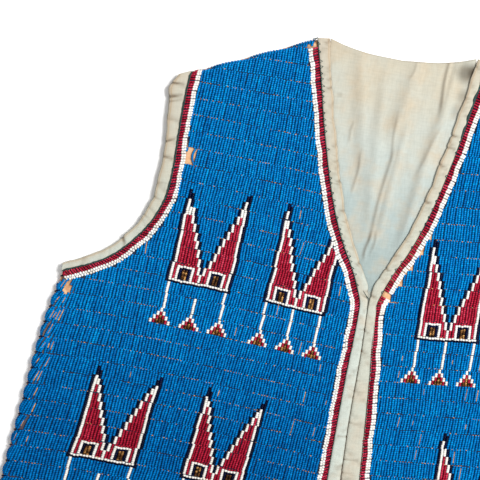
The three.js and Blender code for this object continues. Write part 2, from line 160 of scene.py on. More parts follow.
# %% Lanes
FALL = {"right": 0.108, "left": 0.075}  # slope at the centre front
LEVEL_AT = 215.0  # distance from the centre where they are level
FADE_UP = (60.0, 195.0)  # heights between which the slope fades towards the shoulder
FADE_DOWN = (-200.0, HEM)  # and towards the hem
MEET_ROUNDS, MEET_SHARE = 60, 0.6  # steps to find where a lane meets an edge, and how far each goes


def lane_at(lane):
    """Lane line at a count of lanes, whole or not, above the feet of the upper figures."""
    return FEET_LINE + lane * LANE + np.maximum(lane - LOOSE_FROM, 0) * (LANE_HIGH - LANE)


def lane_drop(x, fall):
    """How far a lane lies below its own level at a distance from the centre, before it fades."""
    far = np.minimum(np.abs(x), LEVEL_AT * 1.2)
    return fall * (2 * LEVEL_AT / 3 - far + far**3 / (3 * LEVEL_AT**2))


def lane_height(x, t, fall):
    """Height on the panel of the lane line t, at a distance x from the centre."""
    drop = lane_drop(x, fall)
    up = 1 / (FADE_UP[1] - FADE_UP[0])
    down = 1 / (FADE_DOWN[0] - FADE_DOWN[1])
    high = (t - drop * (1 + up * FADE_UP[0])) / (1 - drop * up)
    low = (t - drop * (1 - down * FADE_DOWN[0])) / (1 + drop * down)
    plain = t - drop
    return np.where(plain > FADE_UP[0], high, np.where(plain < FADE_DOWN[0], low, plain))


def lane_line(x, y, fall):
    """The lane line that passes through a point of the panel."""
    faded_up = 1 - (y - FADE_UP[0]) / (FADE_UP[1] - FADE_UP[0])
    faded_down = 1 - (FADE_DOWN[0] - y) / (FADE_DOWN[0] - FADE_DOWN[1])
    return y + lane_drop(x, fall) * np.minimum(np.minimum(faded_up, faded_down), 1)


def meet(t, fall, edge, start):
    """Distance from the centre at which a lane line meets an edge, found by closing in on it."""
    x = np.full(np.shape(t), float(start))
    for _ in range(MEET_ROUNDS):
        x = mix(x, edge(lane_height(x, t, fall)), MEET_SHARE)
    return x


print("lane drop at the centre in mm:", {w: round(float(lane_drop(0, fall)), 1) for w, fall in FALL.items()})

# %% [markdown]
# At the side and the shoulder the beadwork turns over a fold and goes on to the back. A cloth modifier
# could fold it, but it would move the beads as well. We lay everything out flat and wrap what lies near
# the fold round a half circle, so beads and hide keep their spacing as they turn over.

# %% The folds
SHOULDER_OUT = np.array([NECK[1] - SHOULDER[1], SHOULDER[0] - NECK[0]])
SHOULDER_OUT = SHOULDER_OUT / np.linalg.norm(SHOULDER_OUT)
SIDE_TOP = UNDERARM[1] + 6  # below this height the nearest fold is the side's


def fold_place(x, y):
    """Distance inside the nearest fold line, and the way out across it, for points with x >= 0."""
    step = 0.5
    lean = (side_edge(y + step) - side_edge(y - step)) / (2 * step)
    length = np.hypot(1, lean)
    from_side = (side_edge(y) - x) / length
    from_shoulder = (SHOULDER[0] - x) * SHOULDER_OUT[0] + (SHOULDER[1] - y) * SHOULDER_OUT[1]
    on_side = y < SIDE_TOP
    inside = np.where(on_side, from_side, from_shoulder)
    out_x = np.where(on_side, 1 / length, SHOULDER_OUT[0])
    out_y = np.where(on_side, -lean / length, SHOULDER_OUT[1])
    return inside, out_x, out_y


def on_front(x, y, depth):
    """Flat panel place to frame place in metres. depth is how far below the lane crowns it lies."""
    sign = np.where(x < 0, -1.0, 1.0)
    inside, out_x, out_y = fold_place(np.abs(x), y)
    past = np.maximum(FOLD - inside, 0)
    angle = past / FOLD
    radius = FOLD - depth
    moved = np.where(past > 0, radius * np.sin(angle) - past, 0)
    z = np.where(past > 0, FRONT_TOP - FOLD + radius * np.cos(angle), FRONT_TOP - depth)
    place = np.stack([sign * (np.abs(x) + out_x * moved), y + out_y * moved + RISE, z], -1)
    return place * MM


print("the top of the side fold in metres:", on_front(float(side_edge(-100)), -100.0, 0.0).round(4))

# %% [markdown]
# Meshes come from bmesh. A sheet starts as a grid whose points are then moved to their place, and a
# band starts as a grid that is rolled round its section and closed at both ends. Both could be sculpted
# by hand, but a grid keeps its rows and columns, so values for the finish are easy to write on it.
# Every finished piece sits at the origin, rides on the body and carries its finish.

# %% Making pieces
def finish_piece(name, mesh, material):
    piece = bpy.data.objects.new(name, mesh)
    bpy.context.collection.objects.link(piece)
    mesh.materials.append(material)
    mesh.polygons.foreach_set("use_smooth", [True] * len(mesh.polygons))
    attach(piece, BODY)
    return piece


def to_mesh(bm, name):
    mesh = bpy.data.meshes.new(name)
    bm.to_mesh(mesh)
    bm.free()
    return mesh


def grid_mesh(columns, rows):
    """A bmesh grid, and for each of its vertices the share of the way across and up."""
    bm = bmesh.new()
    bmesh.ops.create_grid(bm, x_segments=columns, y_segments=rows, size=0.5)
    bm.verts.ensure_lookup_table()
    share = np.array([(v.co.x + 0.5, v.co.y + 0.5) for v in bm.verts])
    return bm, share[:, 0], share[:, 1]


def move_points(bm, places):
    for vert, place in zip(bm.verts, places):
        vert.co = place


def write_values(bm, values):
    """Named numbers at each vertex, which the finishes read."""
    for label, numbers in values.items():
        layer = bm.verts.layers.float.new(label)
        for vert, number in zip(bm.verts, numbers):
            vert[layer] = number


def sheet(name, columns, rows, place, thickness, material, values=None):
    """A cloth or hide sheet: its upper side from `place`, and a wall that grows down from it."""
    bm, across, up = grid_mesh(columns, rows)
    move_points(bm, place(across, up))
    write_values(bm, values(across, up) if values else {})
    bmesh.ops.recalc_face_normals(bm, faces=bm.faces)
    if sum(f.normal.z for f in bm.faces) < 0:
        bmesh.ops.reverse_faces(bm, faces=bm.faces)
    piece = finish_piece(name, to_mesh(bm, name), material)
    wall = piece.modifiers.new("wall", "SOLIDIFY")
    wall.thickness = thickness * MM
    wall.offset = -1
    wall.use_even_offset = True
    return piece


def band(name, rows, columns, place, material, values=None):
    """A closed band: `place` takes the turn round the section and the share along, both 0 to 1."""
    bm, turn, along = grid_mesh(columns, rows)
    move_points(bm, place(turn % 1.0, along))
    write_values(bm, values(turn, along) if values else {})
    bmesh.ops.remove_doubles(bm, verts=bm.verts, dist=1e-7)
    bmesh.ops.edgeloop_fill(bm, edges=[e for e in bm.edges if e.is_boundary])
    bmesh.ops.recalc_face_normals(bm, faces=bm.faces)
    return finish_piece(name, to_mesh(bm, name), material)


# %% [markdown]
# A seed bead is a short rounded tube of glass. A collection instance for each bead would be light in
# Blender, but the export wants real meshes, so the bead is made once and copied into one mesh for each
# colour with numpy. The template is a grid of nine points bent into the upper half of a bead: round
# across the string, and drawn in at both ends, where the holes are. Each copy has a tone of its own,
# and its own square on the UV map.

# %% Bead template
def arched_template(segments):
    """A short piece of string seen from above: three points across, segments + 1 rings along."""
    bm, across, along = grid_mesh(2, segments)
    faces = np.array([[v.index for v in f.verts] for f in bm.faces])
    normals = [f.normal.z for f in bm.faces]
    if sum(normals) < 0:
        faces = faces[:, ::-1]
    bm.free()
    return across * 2 - 1, along * 2 - 1, faces


def bead_shape(across, along):
    """Across, along and up of the bead template, in half widths, half lengths and heights."""
    end, side = np.abs(along), np.abs(across)
    return np.stack([across * (1 - 0.07 * end), along, mix(1 - 0.34 * end, -0.5, side)], -1)


def string_shape(across, along):
    """The same for a whole string of beads, which dips into the hide at both ends."""
    end = np.abs(along) ** 4
    return np.stack([across, along, mix(1 - 0.9 * end, -0.5, np.abs(across))], -1)


def painted_bead_shade(across, along):
    """Painted shade, darker towards a bead's sides and holes, where neighbouring beads meet and little light
    reaches.
    """
    return (1 - 0.94 * np.abs(across)) * (1 - 0.5 * along**2)


BEAD = arched_template(2)
STRING = arched_template(3)
print("bead template faces:", len(BEAD[2]))

# %% [markdown]
# The copies are laid out with array sums: each template point is moved along its copy's own three half
# axes. A loop over so many thousands of beads would take minutes. The tone of a copy and a painted shade
# at each point, darker at the sides and holes of each bead, are kept as attributes, which the finishes read.

# %% Copies of a template
def add_value(mesh, label, values):
    layer = mesh.attributes.new(label, "FLOAT", "POINT")
    layer.data.foreach_set("value", values.astype(np.float32))


def copies(name, template, shape, centre, across, along, up, tone, material):
    """One mesh of many copies. across, along and up are each copy's half axes, in metres."""
    side, length, faces = template
    local = shape(side, length)
    count, size = len(centre), len(local)
    points = centre[:, None] + (
        local[None, :, 0:1] * across[:, None]
        + local[None, :, 1:2] * along[:, None]
        + local[None, :, 2:3] * up[:, None]
    )
    corners = (faces[None] + (np.arange(count) * size)[:, None, None]).reshape(-1)
    mesh = bpy.data.meshes.new(name)
    mesh.vertices.add(count * size)
    mesh.vertices.foreach_set("co", points.astype(np.float32).ravel())
    mesh.loops.add(len(corners))
    mesh.loops.foreach_set("vertex_index", corners.astype(np.int32))
    mesh.polygons.add(count * len(faces))
    mesh.polygons.foreach_set("loop_start", np.arange(count * len(faces), dtype=np.int32) * 4)
    mesh.update(calc_edges=True)
    add_value(mesh, "tone", np.repeat(tone, size))
    add_value(mesh, "along", np.tile(length, count))
    # the shade attribute is painted shade, darker at each bead's sides and holes
    add_value(mesh, "shade", np.tile(painted_bead_shade(side, length), count))
    cells = math.ceil(math.sqrt(count))
    cell = np.stack([np.arange(count) % cells, np.arange(count) // cells], -1)
    inside = np.stack([side, length], -1) * 0.4 + 0.5
    places = ((cell[:, None] + inside[None]) / cells).reshape(-1, 2)[corners]
    mesh.uv_layers.new(name="OFBake").data.foreach_set("uv", places.astype(np.float32).ravel())
    mesh.validate()
    return finish_piece(name, mesh, material)


print("points of a bead and of a whole string:", len(BEAD[0]), len(STRING[0]))

# %% [markdown]
# A finish is a tree of shader nodes. It could be drawn by hand in the editor, but in a script a few
# helpers keep it short: one that plugs a number, a colour or another node into a socket, and one for
# each kind of node. Colours are given as seen on a screen, and turned into the linear numbers that
# shaders take.

# %% Shader helpers
def new_finish(name):
    material = bpy.data.materials.new(name)
    material.use_nodes = True
    nodes = material.node_tree.nodes
    return material, nodes, material.node_tree.links, nodes["Principled BSDF"]


def linear(*srgb):
    """Screen colour, 0 to 255, to the linear numbers that shaders take."""
    return tuple(((c / 255 + 0.055) / 1.055) ** 2.4 if c > 10 else c / 255 / 12.92 for c in srgb)


def grey(level):
    return (level, level, level)


def stops(places, shades):
    """Stops of a ramp, from screen colours."""
    return [(float(at), linear(*shade)) for at, shade in zip(places, shades)]


def plug(links, socket, value):
    """Give a socket a number, a colour or the output of another node."""
    if isinstance(value, (int, float)):
        socket.default_value = value
    elif isinstance(value, tuple):
        socket.default_value = (*value, 1)
    else:
        links.new(value, socket)


def ramp(nodes, links, source, steps):
    node = nodes.new("ShaderNodeValToRGB")
    ends = node.color_ramp.elements
    while len(ends) < len(steps):
        ends.new(0.5)
    for end, (at, colour) in zip(ends, steps):
        end.position = at
        end.color = (*colour, 1)
    links.new(source, node.inputs["Fac"])
    return node.outputs["Color"]


def written(nodes, label):
    """The numbers that are written on a mesh under this name."""
    node = nodes.new("ShaderNodeAttribute")
    node.attribute_name = label
    return node.outputs["Fac"]


def map_range(nodes, links, value, ends, kind="LINEAR"):
    node = nodes.new("ShaderNodeMapRange")
    node.interpolation_type = kind
    links.new(value, node.inputs["Value"])
    for label, number in ends.items():
        node.inputs[label].default_value = number
    return node.outputs["Result"]


def maths(nodes, links, operation, *values):
    node = nodes.new("ShaderNodeMath")
    node.operation = operation
    for socket, value in zip(node.inputs, values):
        plug(links, socket, value)
    return node.outputs["Value"]


def tinted(nodes, links, mode, share, first, second):
    """Mix of two colours. The share is a number or a socket, and so is the second colour."""
    node = nodes.new("ShaderNodeMix")
    node.data_type = "RGBA"
    node.blend_type = mode
    for socket, value in zip((node.inputs["Factor"], node.inputs[6], node.inputs[7]), (share, first, second)):
        plug(links, socket, value)
    return node.outputs[2]


def object_noise(nodes, links, scale, detail=3.0, stretch=(1, 1, 1)):
    place = nodes.new("ShaderNodeTexCoord")
    turn = nodes.new("ShaderNodeMapping")
    turn.inputs["Scale"].default_value = stretch
    noise = nodes.new("ShaderNodeTexNoise")
    noise.inputs["Scale"].default_value = scale
    noise.inputs["Detail"].default_value = detail
    links.new(place.outputs["Object"], turn.inputs["Vector"])
    links.new(turn.outputs["Vector"], noise.inputs["Vector"])
    return noise.outputs["Fac"]


def bump(nodes, links, shader, height, strength, distance):
    node = nodes.new("ShaderNodeBump")
    node.inputs["Strength"].default_value = strength
    node.inputs["Distance"].default_value = distance
    links.new(height, node.inputs["Height"])
    links.new(node.outputs["Normal"], shader.inputs["Normal"])


print("white as a linear number:", linear(255, 255, 255)[0])

# %% [markdown]
# Old glass beads of one colour still differ a little from string to string, and their pressed glass is
# glossy. Clear glass with refraction would be true to a few beads, but these are opaque and there are
# thousands. So a ramp over each bead's own tone gives the spread, the gloss changes with it, and the
# shade attribute paints shade on the sides and holes, where neighbouring beads meet.

# %% Bead colours
def bead_finish(name, shades, roughness, low=0.1, metallic=0.0, specular=0.06):
    """Glass in dark, middle and light shades, with painted shade down to a share `low` at sides and holes."""
    material, nodes, links, shader = new_finish(name)
    tone = written(nodes, "tone")
    colour = ramp(nodes, links, tone, stops((0, 0.5, 1), shades))
    # painted shade where beads meet, read from the shade attribute
    depth = ramp(nodes, links, written(nodes, "shade"), [(0, grey(low)), (1, grey(1))])
    links.new(tinted(nodes, links, "MULTIPLY", 1, colour, depth), shader.inputs["Base Color"])
    gloss = map_range(nodes, links, tone, {"To Min": roughness + 0.08, "To Max": roughness - 0.06})
    links.new(gloss, shader.inputs["Roughness"])
    shader.inputs["Metallic"].default_value = metallic
    shader.inputs["Specular IOR Level"].default_value = specular
    return material


BLUE, WHITE, RED, NAVY, BRONZE = range(5)
COLOUR_NAMES = {BLUE: "blue", WHITE: "white", RED: "red", NAVY: "navy", BRONZE: "bronze"}
FINISH = {
    BLUE: bead_finish("blue glass", [(0, 97, 172), (0, 134, 217), (0, 172, 250)], 0.24, 0.08, specular=0.025),
    WHITE: bead_finish("chalk white glass", [(230, 226, 216), (245, 243, 239), (252, 252, 251)], 0.34, 0.52),
    RED: bead_finish("crimson glass", [(152, 14, 42), (196, 32, 64), (236, 72, 104)], 0.24, 0.04),
    NAVY: bead_finish("midnight glass", [(0, 4, 30), (2, 10, 46), (8, 22, 76)], 0.24, 0.25),
    BRONZE: bead_finish("bronze faceted", [(52, 32, 14), (104, 66, 34), (206, 152, 88)], 0.26, 0.15, 0.3),
}
print("bead finishes:", len(FINISH))

# %% [markdown]
# Smoked hide is tan and mottled, and sinew and braid are thread of many tones. A picture of leather
# would repeat, so noise on object coordinates colours them. Where beads lie close together no light
# reaches the hide: it is nearly black there, by an attribute that the panel writes.

# %% Hide and thread finishes
MOTTLES = (0.3, 0.5, 0.7)  # where the dark, middle and light shades lie in the noise


def mottled(name, shades, scale, roughness, grain, grain_depth):
    material, nodes, links, shader = new_finish(name)
    colour = ramp(nodes, links, object_noise(nodes, links, scale), stops(MOTTLES, shades))
    links.new(colour, shader.inputs["Base Color"])
    shader.inputs["Roughness"].default_value = roughness
    bump(nodes, links, shader, object_noise(nodes, links, grain), 0.5, grain_depth)
    return material


def hide_finish():
    """Smoked hide, and nearly black where its `covered` attribute says that beads keep light off it."""
    material, nodes, links, shader = new_finish("smoked hide")
    shades = [(176, 128, 90), (204, 158, 118), (220, 184, 148)]
    colour = ramp(nodes, links, object_noise(nodes, links, 220), stops(MOTTLES, shades))
    colour = tinted(nodes, links, "MIX", written(nodes, "covered"), colour, linear(14, 34, 62))
    links.new(colour, shader.inputs["Base Color"])
    shader.inputs["Roughness"].default_value = 0.9
    bump(nodes, links, shader, object_noise(nodes, links, 1400), 0.5, 0.0002)
    return material


HIDE = hide_finish()
SINEW = mottled("sinew thread", [(140, 94, 48), (178, 130, 78), (214, 168, 112)], 700, 0.7, 3000, 0.0001)
GREEN = mottled("dark green braid", [(6, 26, 26), (14, 44, 42), (28, 68, 62)], 900, 0.8, 2600, 0.00015)
print("finishes so far:", len(bpy.data.materials))

# %% [markdown]
# The cotton is plain weave: fine threads over and under, yellowed and worn with use. Threads could be
# modelled, but they are half a millimetre wide, so two sine waves give their relief. The colour is
# built up in layers: the faded cloth, then stains, painted shadows, thicker threads, the worn edge,
# and painted shade in the creases and folds.

# %% Cotton finishes
def cotton(name, thread, low, high, shades, stain, shadow_spots=()):
    """Plain-weave cotton. Its shade changes from the height `low` to `high` of the panel, in mm."""
    material, nodes, links, shader = new_finish(name)
    place = nodes.new("ShaderNodeTexCoord").outputs["Object"]
    parts = nodes.new("ShaderNodeSeparateXYZ")
    links.new(place, parts.inputs["Vector"])
    cloth = faded(nodes, links, parts.outputs["Y"], low, high, shades)
    blots = ramp(nodes, links, object_noise(nodes, links, 75, 8.0), [(0.46, grey(0)), (0.7, grey(0.5))])
    cloth = tinted(nodes, links, "MIX", blots, cloth, linear(*stain))
    for shadow_spot in shadow_spots:
        cloth = with_painted_shadow(nodes, links, cloth, place, *shadow_spot)
    for stretch in ((1, 0.14, 1), (0.14, 1, 1)):
        slubs = object_noise(nodes, links, 1000, 2.0, stretch)
        slubs = ramp(nodes, links, slubs, [(0.35, grey(0.82)), (0.6, grey(1))])
        cloth = tinted(nodes, links, "MULTIPLY", 0.32, cloth, slubs)
    # a stain along the tapes' free edge, and painted shade in the creases and folds
    for label, steps, shade in STAINS_AND_SHADE:
        darkening = ramp(nodes, links, written(nodes, label), steps)
        cloth = tinted(nodes, links, "MIX", darkening, cloth, linear(*shade))
    links.new(cloth, shader.inputs["Base Color"])
    shader.inputs["Roughness"].default_value = 0.95
    shader.inputs["Specular IOR Level"].default_value = 0.15
    turns = 2 * math.pi / thread
    angles = [maths(nodes, links, "MULTIPLY", parts.outputs[way], turns) for way in "XY"]
    warp, weft = (maths(nodes, links, "SINE", angle) for angle in angles)
    bump(nodes, links, shader, maths(nodes, links, "MULTIPLY", warp, weft), 0.5, 0.00012)
    return material


def faded(nodes, links, height, low, high, shades):
    """Cloth that changes its shade unevenly from one height to another."""
    rise = map_range(nodes, links, height, {"From Min": (RISE + low) * MM, "From Max": (RISE + high) * MM})
    drift = maths(nodes, links, "MULTIPLY_ADD", object_noise(nodes, links, 30, 6.0), 0.8, -0.4)
    level = maths(nodes, links, "ADD", rise, drift)
    return ramp(nodes, links, level, stops(np.linspace(0, 1, len(shades)), shades))


def with_painted_shadow(nodes, links, cloth, place, x, y, reach, strength):
    """The cloth with a painted shadow round a point of the panel."""
    away = nodes.new("ShaderNodeVectorMath")
    away.operation = "DISTANCE"
    links.new(place, away.inputs[0])
    away.inputs[1].default_value = (x * MM, (y + RISE) * MM, 0.005)
    ends = {"From Min": reach * MM, "From Max": 0.15 * reach * MM, "To Max": strength}
    near = map_range(nodes, links, away.outputs["Value"], ends, "SMOOTHSTEP")
    return tinted(nodes, links, "MIX", near, cloth, linear(62, 54, 42))


# edge: a tan stain along a tape's free edge. crease: painted shade in creases, folds and tape edges
STAINS_AND_SHADE = (  # attribute, how much of the shade shows at its values, and the shade
    ("edge", [(0.5, grey(0)), (0.78, grey(0.3)), (0.84, grey(0.95)), (0.9, grey(0.35))], (168, 148, 122)),
    ("crease", [(0, grey(0)), (1, grey(1))], (112, 100, 84)),
)
TAPES = {
    "right": cotton(
        "cotton tape", 0.0006, -40, 170, [(184, 191, 183), (180, 181, 168), (184, 177, 162)], (186, 170, 148)
    ),
    "left": cotton(
        "yellower cotton tape", 0.0006, -40, 170, [(182, 184, 172), (180, 181, 168), (184, 177, 160)],
        (186, 170, 150),
    ),
}
# painted shadows on the lining: the darkest in the hollow where it folds under by the wearer's left shoulder,
# fainter ones lower down
PAINTED_SHADOWS = [  # x, y, reach in mm, strength
    (54, 171, 8.5, 0.97), (47, 170, 11, 0.65), (49, 153, 9, 0.4), (45, 142, 8, 0.25), (-41, 142, 3, 0.2),
]
LINING = cotton(
    "lining cotton", 0.0007, 0, 165, [(142, 156, 154), (162, 174, 172), (177, 182, 175), (181, 176, 160)],
    (186, 168, 142), PAINTED_SHADOWS,
)
print("finishes:", len(bpy.data.materials))

# %% [markdown]
# The hide of each front is one sheet. It could be cut out of a plain grid, but then its edges would be
# jagged. Here the grid's inner edge follows the neck and centre, its outer edge the armhole and side,
# and its rows follow the lanes. It lies under the beads, so it is set down by their height, and it is
# held flat as it was cut.

# %% Hide of the fronts
BEAD_HIGH = 0.95  # half bead, over its string
HIDE_DOWN = 2.3  # from the crowns of the beads to the hide
HIDE_THICK = 1.05
SIGN = {"right": -1.0, "left": 1.0}
BARE = {  # places where lane beads are lost: x, y, half width, half height, lean
    "right": [(-141.2, 83.1, 2.9, 5.8, 0.1), (-216.4, -23.3, 2.0, 5.0, 0.2)], "left": [],
}
BORDER_BARE = {"right": [(-63.0, 180.0, 6.2)], "left": [(12.6, 3.0, 4.4)]}  # in the border: x, y, reach


def side_slack(out, y):
    """Near the side seam under the arm the strings hang loose: 1 at the fold, 0 away from it."""
    inside, _, _ = fold_place(out, y)
    return (1 - ease(inside, 3, 17)) * (y < UNDERARM[1] + 4) * (0.45 + 0.55 * ease(y, -150, -40))


def top_line(fall):
    """The lane line that passes just under the neck end of the shoulder."""
    return lane_line(NECK[0], NECK[1] - 0.9, fall)


def covered(wearer, x, y):
    """How much of the light beads keep off the hide: less where they are lost or hang loose."""
    hidden = 1 - 0.25 * side_slack(np.abs(x), y)
    bare = BARE[wearer] + [(at_x, at_y, reach, reach, 0) for at_x, at_y, reach in BORDER_BARE[wearer]]
    for bare_x, bare_y, wide, high, lean in bare:
        aside = np.abs(x - bare_x - lean * (y - bare_y)) - wide
        hidden = hidden * ease(np.maximum(aside, np.abs(y - bare_y) - high), 0.6, 3.5)
    if wearer == "left":
        open_edge = ease(y, 6, 10) * (1 - ease(y, 50, 56))
        hidden = hidden * mix(1, ease(np.abs(x) - front_edge(y), 10, 12.5), open_edge)
    return hidden


def front_hide(wearer):
    fall, sign = FALL[wearer], SIGN[wearer]

    def panel(across, up):
        t = mix(HEM + 0.4, top_line(fall), up)
        near = meet(t, fall, front_edge, 30) + 0.4
        far = meet(t, fall, outline, 150)
        far = far - 0.4 + 3.4 * (lane_height(far, t, fall) < UNDERARM[1])
        x = mix(near, far, across)
        return sign * x, lane_height(x, t, fall)

    def place(across, up):
        x, y = panel(across, up)
        return on_front(x, y, np.full(x.shape, HIDE_DOWN))

    def values(across, up):
        return {"covered": covered(wearer, *panel(across, up))}

    piece = sheet(f"{wearer}_front_hide", 72, 130, place, HIDE_THICK, HIDE, values)
    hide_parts(f"{wearer}_front")
    return piece


hides = {wearer: front_hide(wearer) for wearer in SIGN}
print("front hides:", [len(p.data.vertices) for p in hides.values()])

# %% [markdown]
# The figures are a traditional stepped pair of horns over a base with two windows, on three legs with
# stepped feet. A beadworker counts them out on a chart: 23 strings wide, nine lanes high, eight beads to
# a lane. A painted texture would blur between beads, so each bead takes its colour from the chart. We
# write the chart as rules, counting strings in from the outer edge of each half and rows up from the
# foot of the horns. The horns are drawn up in steps of three or four beads, one string narrower each
# time, and the maker has ended them in three ways.

# %% Chart of the figure
FIGURE_WIDE = 23
FIGURE_LANES = 9
MIDDLE = FIGURE_WIDE // 2
HORNS = {  # beads in each step, from the lowest
    "tall": [4] * 11,
    "snug": [4] * 9 + [3, 2],
    "short": [4] * 9 + [0, 4],
}
TIPS = {"left": (1, 2), "right": (0, 1)}  # the strings that its longer and its shorter part are on
TIP_ROWS = (5, 3)  # beads of each part
FEET_PAST = 2  # strings that the outer feet reach past the base
BASE_LANE, LEG_LANE, FOOT_LANE = 5, 6, 8  # lanes from the top: the base, then the legs, then the feet
FOOT_ROWS = {3: (WHITE, RED), 5: (WHITE, RED, BRONZE), 7: (WHITE, RED, BRONZE, BRONZE)}


def horn_colour(kind, side, string, up):
    """Colour at a count of strings in from the outer edge and of rows up from the foot of a horn."""
    tops = np.cumsum(HORNS[kind])
    above = up - tops[-1]
    if above >= 0:
        on_tip = any(string == at and above < rows for at, rows in zip(TIPS[side], TIP_ROWS))
        return NAVY if on_tip else BLUE
    inner = MIDDLE - int(np.searchsorted(tops, up, side="right"))
    if string in (0, inner + 1):
        return NAVY
    if string > inner:
        return BLUE
    if string in (1, inner) or (kind == "short" and inner == 3):
        return WHITE
    return RED


def window_colour(string, up):
    """The window in the foot of a horn: two bronze strings in a dark and a white frame."""
    if up == 6 or string in (3, 8):
        return WHITE
    if up == 5 or string in (4, 7):
        return NAVY
    return BRONZE


def foot_colour(off, row):
    """off is the count of strings from the leg, row counts down from the top of the lane."""
    if row < 3:
        return WHITE if off == 0 else BLUE
    colours = FOOT_ROWS[row - 1 + row % 2]
    return colours[len(colours) - 1 - off] if off < len(colours) else BLUE


def figure_colour(kinds, middle_leg, lane, string, row):
    side = "left" if string <= MIDDLE else "right"
    half = min(string, FIGURE_WIDE - 1 - string)
    if half < 0 and lane < FOOT_LANE:
        return BLUE
    up = (BASE_LANE - lane) * BEADS + BEADS - row
    if up >= 0:
        if up == 7 and 2 <= half < MIDDLE - 1:
            return RED
        if up < 7 and 3 <= half <= 8:
            return window_colour(half, up)
        return horn_colour(kinds[side], side, half, up)
    if lane == LEG_LANE and row < 3:
        return WHITE if row == 1 and half > 0 else NAVY
    outer = FIGURE_WIDE - 2
    legs = (1, outer) if lane == LEG_LANE and middle_leg == "short" else (1, MIDDLE, outer)
    off = min(abs(string - leg) for leg in legs)
    if lane < FOOT_LANE:
        return WHITE if off == 0 else BLUE
    return foot_colour(off, row)


def chart(left, right, middle_leg):
    kinds = {"left": left, "right": right}
    rows, strings = range(1, BEADS + 1), range(-FEET_PAST, FIGURE_WIDE + FEET_PAST)
    return np.array([
        [[figure_colour(kinds, middle_leg, lane, string, row) for row in rows] for string in strings]
        for lane in range(FIGURE_LANES)
    ])


print("beads of one figure that aren't blue:", int((chart("tall", "tall", "long") != BLUE).sum()))

# %% [markdown]
# Border, braid and whipping all follow the cut edges. A curve object could carry them, but its points
# are hard to compare with those of the beads. So each edge is a list of points, and we walk along it at
# even steps, with the way along at each step.

# %% Paths along the cut edges
def unit(ways):
    """The same ways, each with length 1."""
    return ways / np.linalg.norm(ways, axis=-1, keepdims=True)


def right_of(ways):
    """The flat ways to the right of the given ones."""
    return np.stack([ways[:, 1], -ways[:, 0]], -1)


def lengths_along(points):
    """Length along a path at each of its points."""
    steps = np.hypot(*np.diff(points, axis=0).T)
    return np.concatenate([[0], np.cumsum(steps)])


def path_at(points, at, reach):
    """Places at given lengths along a path, and the unit way along, read over `reach` to both sides."""
    length = lengths_along(points)

    def point(where):
        return np.stack([np.interp(where, length, points[:, i]) for i in (0, 1)], -1)

    return point(at), unit(point(at + reach) - point(at - reach))


def walk(points, spacing, start=0.0):
    """Places at even spacing along a path, and the unit way along at each."""
    return path_at(points, np.arange(start, lengths_along(points)[-1], spacing), 0.6)


def inside_of(path, x, y):
    """Distance of each point inside a cut edge: the panel is on the right of a path."""
    points, way = walk(path, 1.0)
    nearest = np.empty(len(x), int)
    for part in np.array_split(np.arange(len(x)), max(1, len(x) // 4000)):
        gap = np.hypot(x[part, None] - points[None, :, 0], y[part, None] - points[None, :, 1])
        nearest[part] = gap.argmin(1)
    off = np.stack([x, y], -1) - points[nearest]
    return (off * right_of(way[nearest])).sum(1)


OVER_FOLD = 5.0  # the armhole's path goes on past the shoulder fold by this much
arm_y = np.linspace(SHOULDER[1], UNDERARM[1], 240)
ARM_PATH = np.concatenate([
    [(SHOULDER[0] - 0.4, SHOULDER[1] + OVER_FOLD)], np.stack([armhole_edge(arm_y), arm_y], -1),
])
neck_y = np.linspace(HEM, NECK[1] - 1.0, 420)
NECK_PATH = np.stack([front_edge(neck_y), neck_y], -1)
HEM_PATH = np.array([(float(front_edge(HEM)) + BORDER, HEM), (float(side_edge(HEM)) + 3, HEM)])
for label, path in {"armhole": ARM_PATH, "neck and centre": NECK_PATH, "hem": HEM_PATH}.items():
    print(label, "edge in mm:", round(lengths_along(path)[-1], 1))

# %% [markdown]
# Now the beads are laid out: lane by lane, string by string, bead by bead. Spreading them over the
# surface at random or in an even grid would look machine made. The strings of the real one lean a
# little, so each string here has its own slip and slant, and each bead a small wobble. By the side,
# under the arm, the strings hang slack and lean more.

# %% Where each bead lies
LEAN_AT = 25
LEAN = {"right": (5.5, -0.02, 2.0, 8.4), "left": (2.2, -0.004, 1.5, 4.0)}  # degrees there, per mm, limits
STRINGS = 150  # strings laid out on each side of the centre, more than there is room for
BASE_UP = 3  # lanes from the feet to the figure's base
TAUT = 0.16  # bare hide left between two lanes
WIDER_FROM, WIDER_TO, WIDER = 90.0, 185.0, 0.000625  # strings stand further apart towards the side
SLIP, SWAY = 0.17, 0.05  # uneven ends of the strings in mm, and the slant that they share in places
SLACK_LEAN = {"right": 0.42, "left": 0.2}  # how much more the slack strings lean


def lean_shift(wearer, t):
    """How far a string has moved across by the lane line t, as the strings lean."""
    start, rate, least, most = LEAN[wearer]
    levels = np.linspace(HEM - 10, 200, 400)
    degrees = np.clip(start + rate * (levels - LEAN_AT), least, most)
    slope = np.tan(np.radians(degrees))
    moved = np.concatenate([[0], np.cumsum((slope[1:] + slope[:-1]) / 2 * np.diff(levels))])
    return np.interp(t, levels, moved), np.interp(t, levels, slope)


def spread(out):
    """Distance from the centre of a string that would be at `out` if all stood equally close."""
    wide = np.maximum(out - WIDER_FROM, 0)
    near = np.minimum(wide, WIDER_TO - WIDER_FROM)
    return out + WIDER * near * (2 * wide - near), 1 + 2 * WIDER * near


def string_x(wearer, string, t):
    """Where a string crosses the lane line t, and how much wider than usual it stands."""
    zero = lean_shift(wearer, lane_at(BASE_UP))[0]
    out, wider = spread(SIGN[wearer] * (string * RIB + lean_shift(wearer, t)[0] - zero))
    return SIGN[wearer] * out, wider


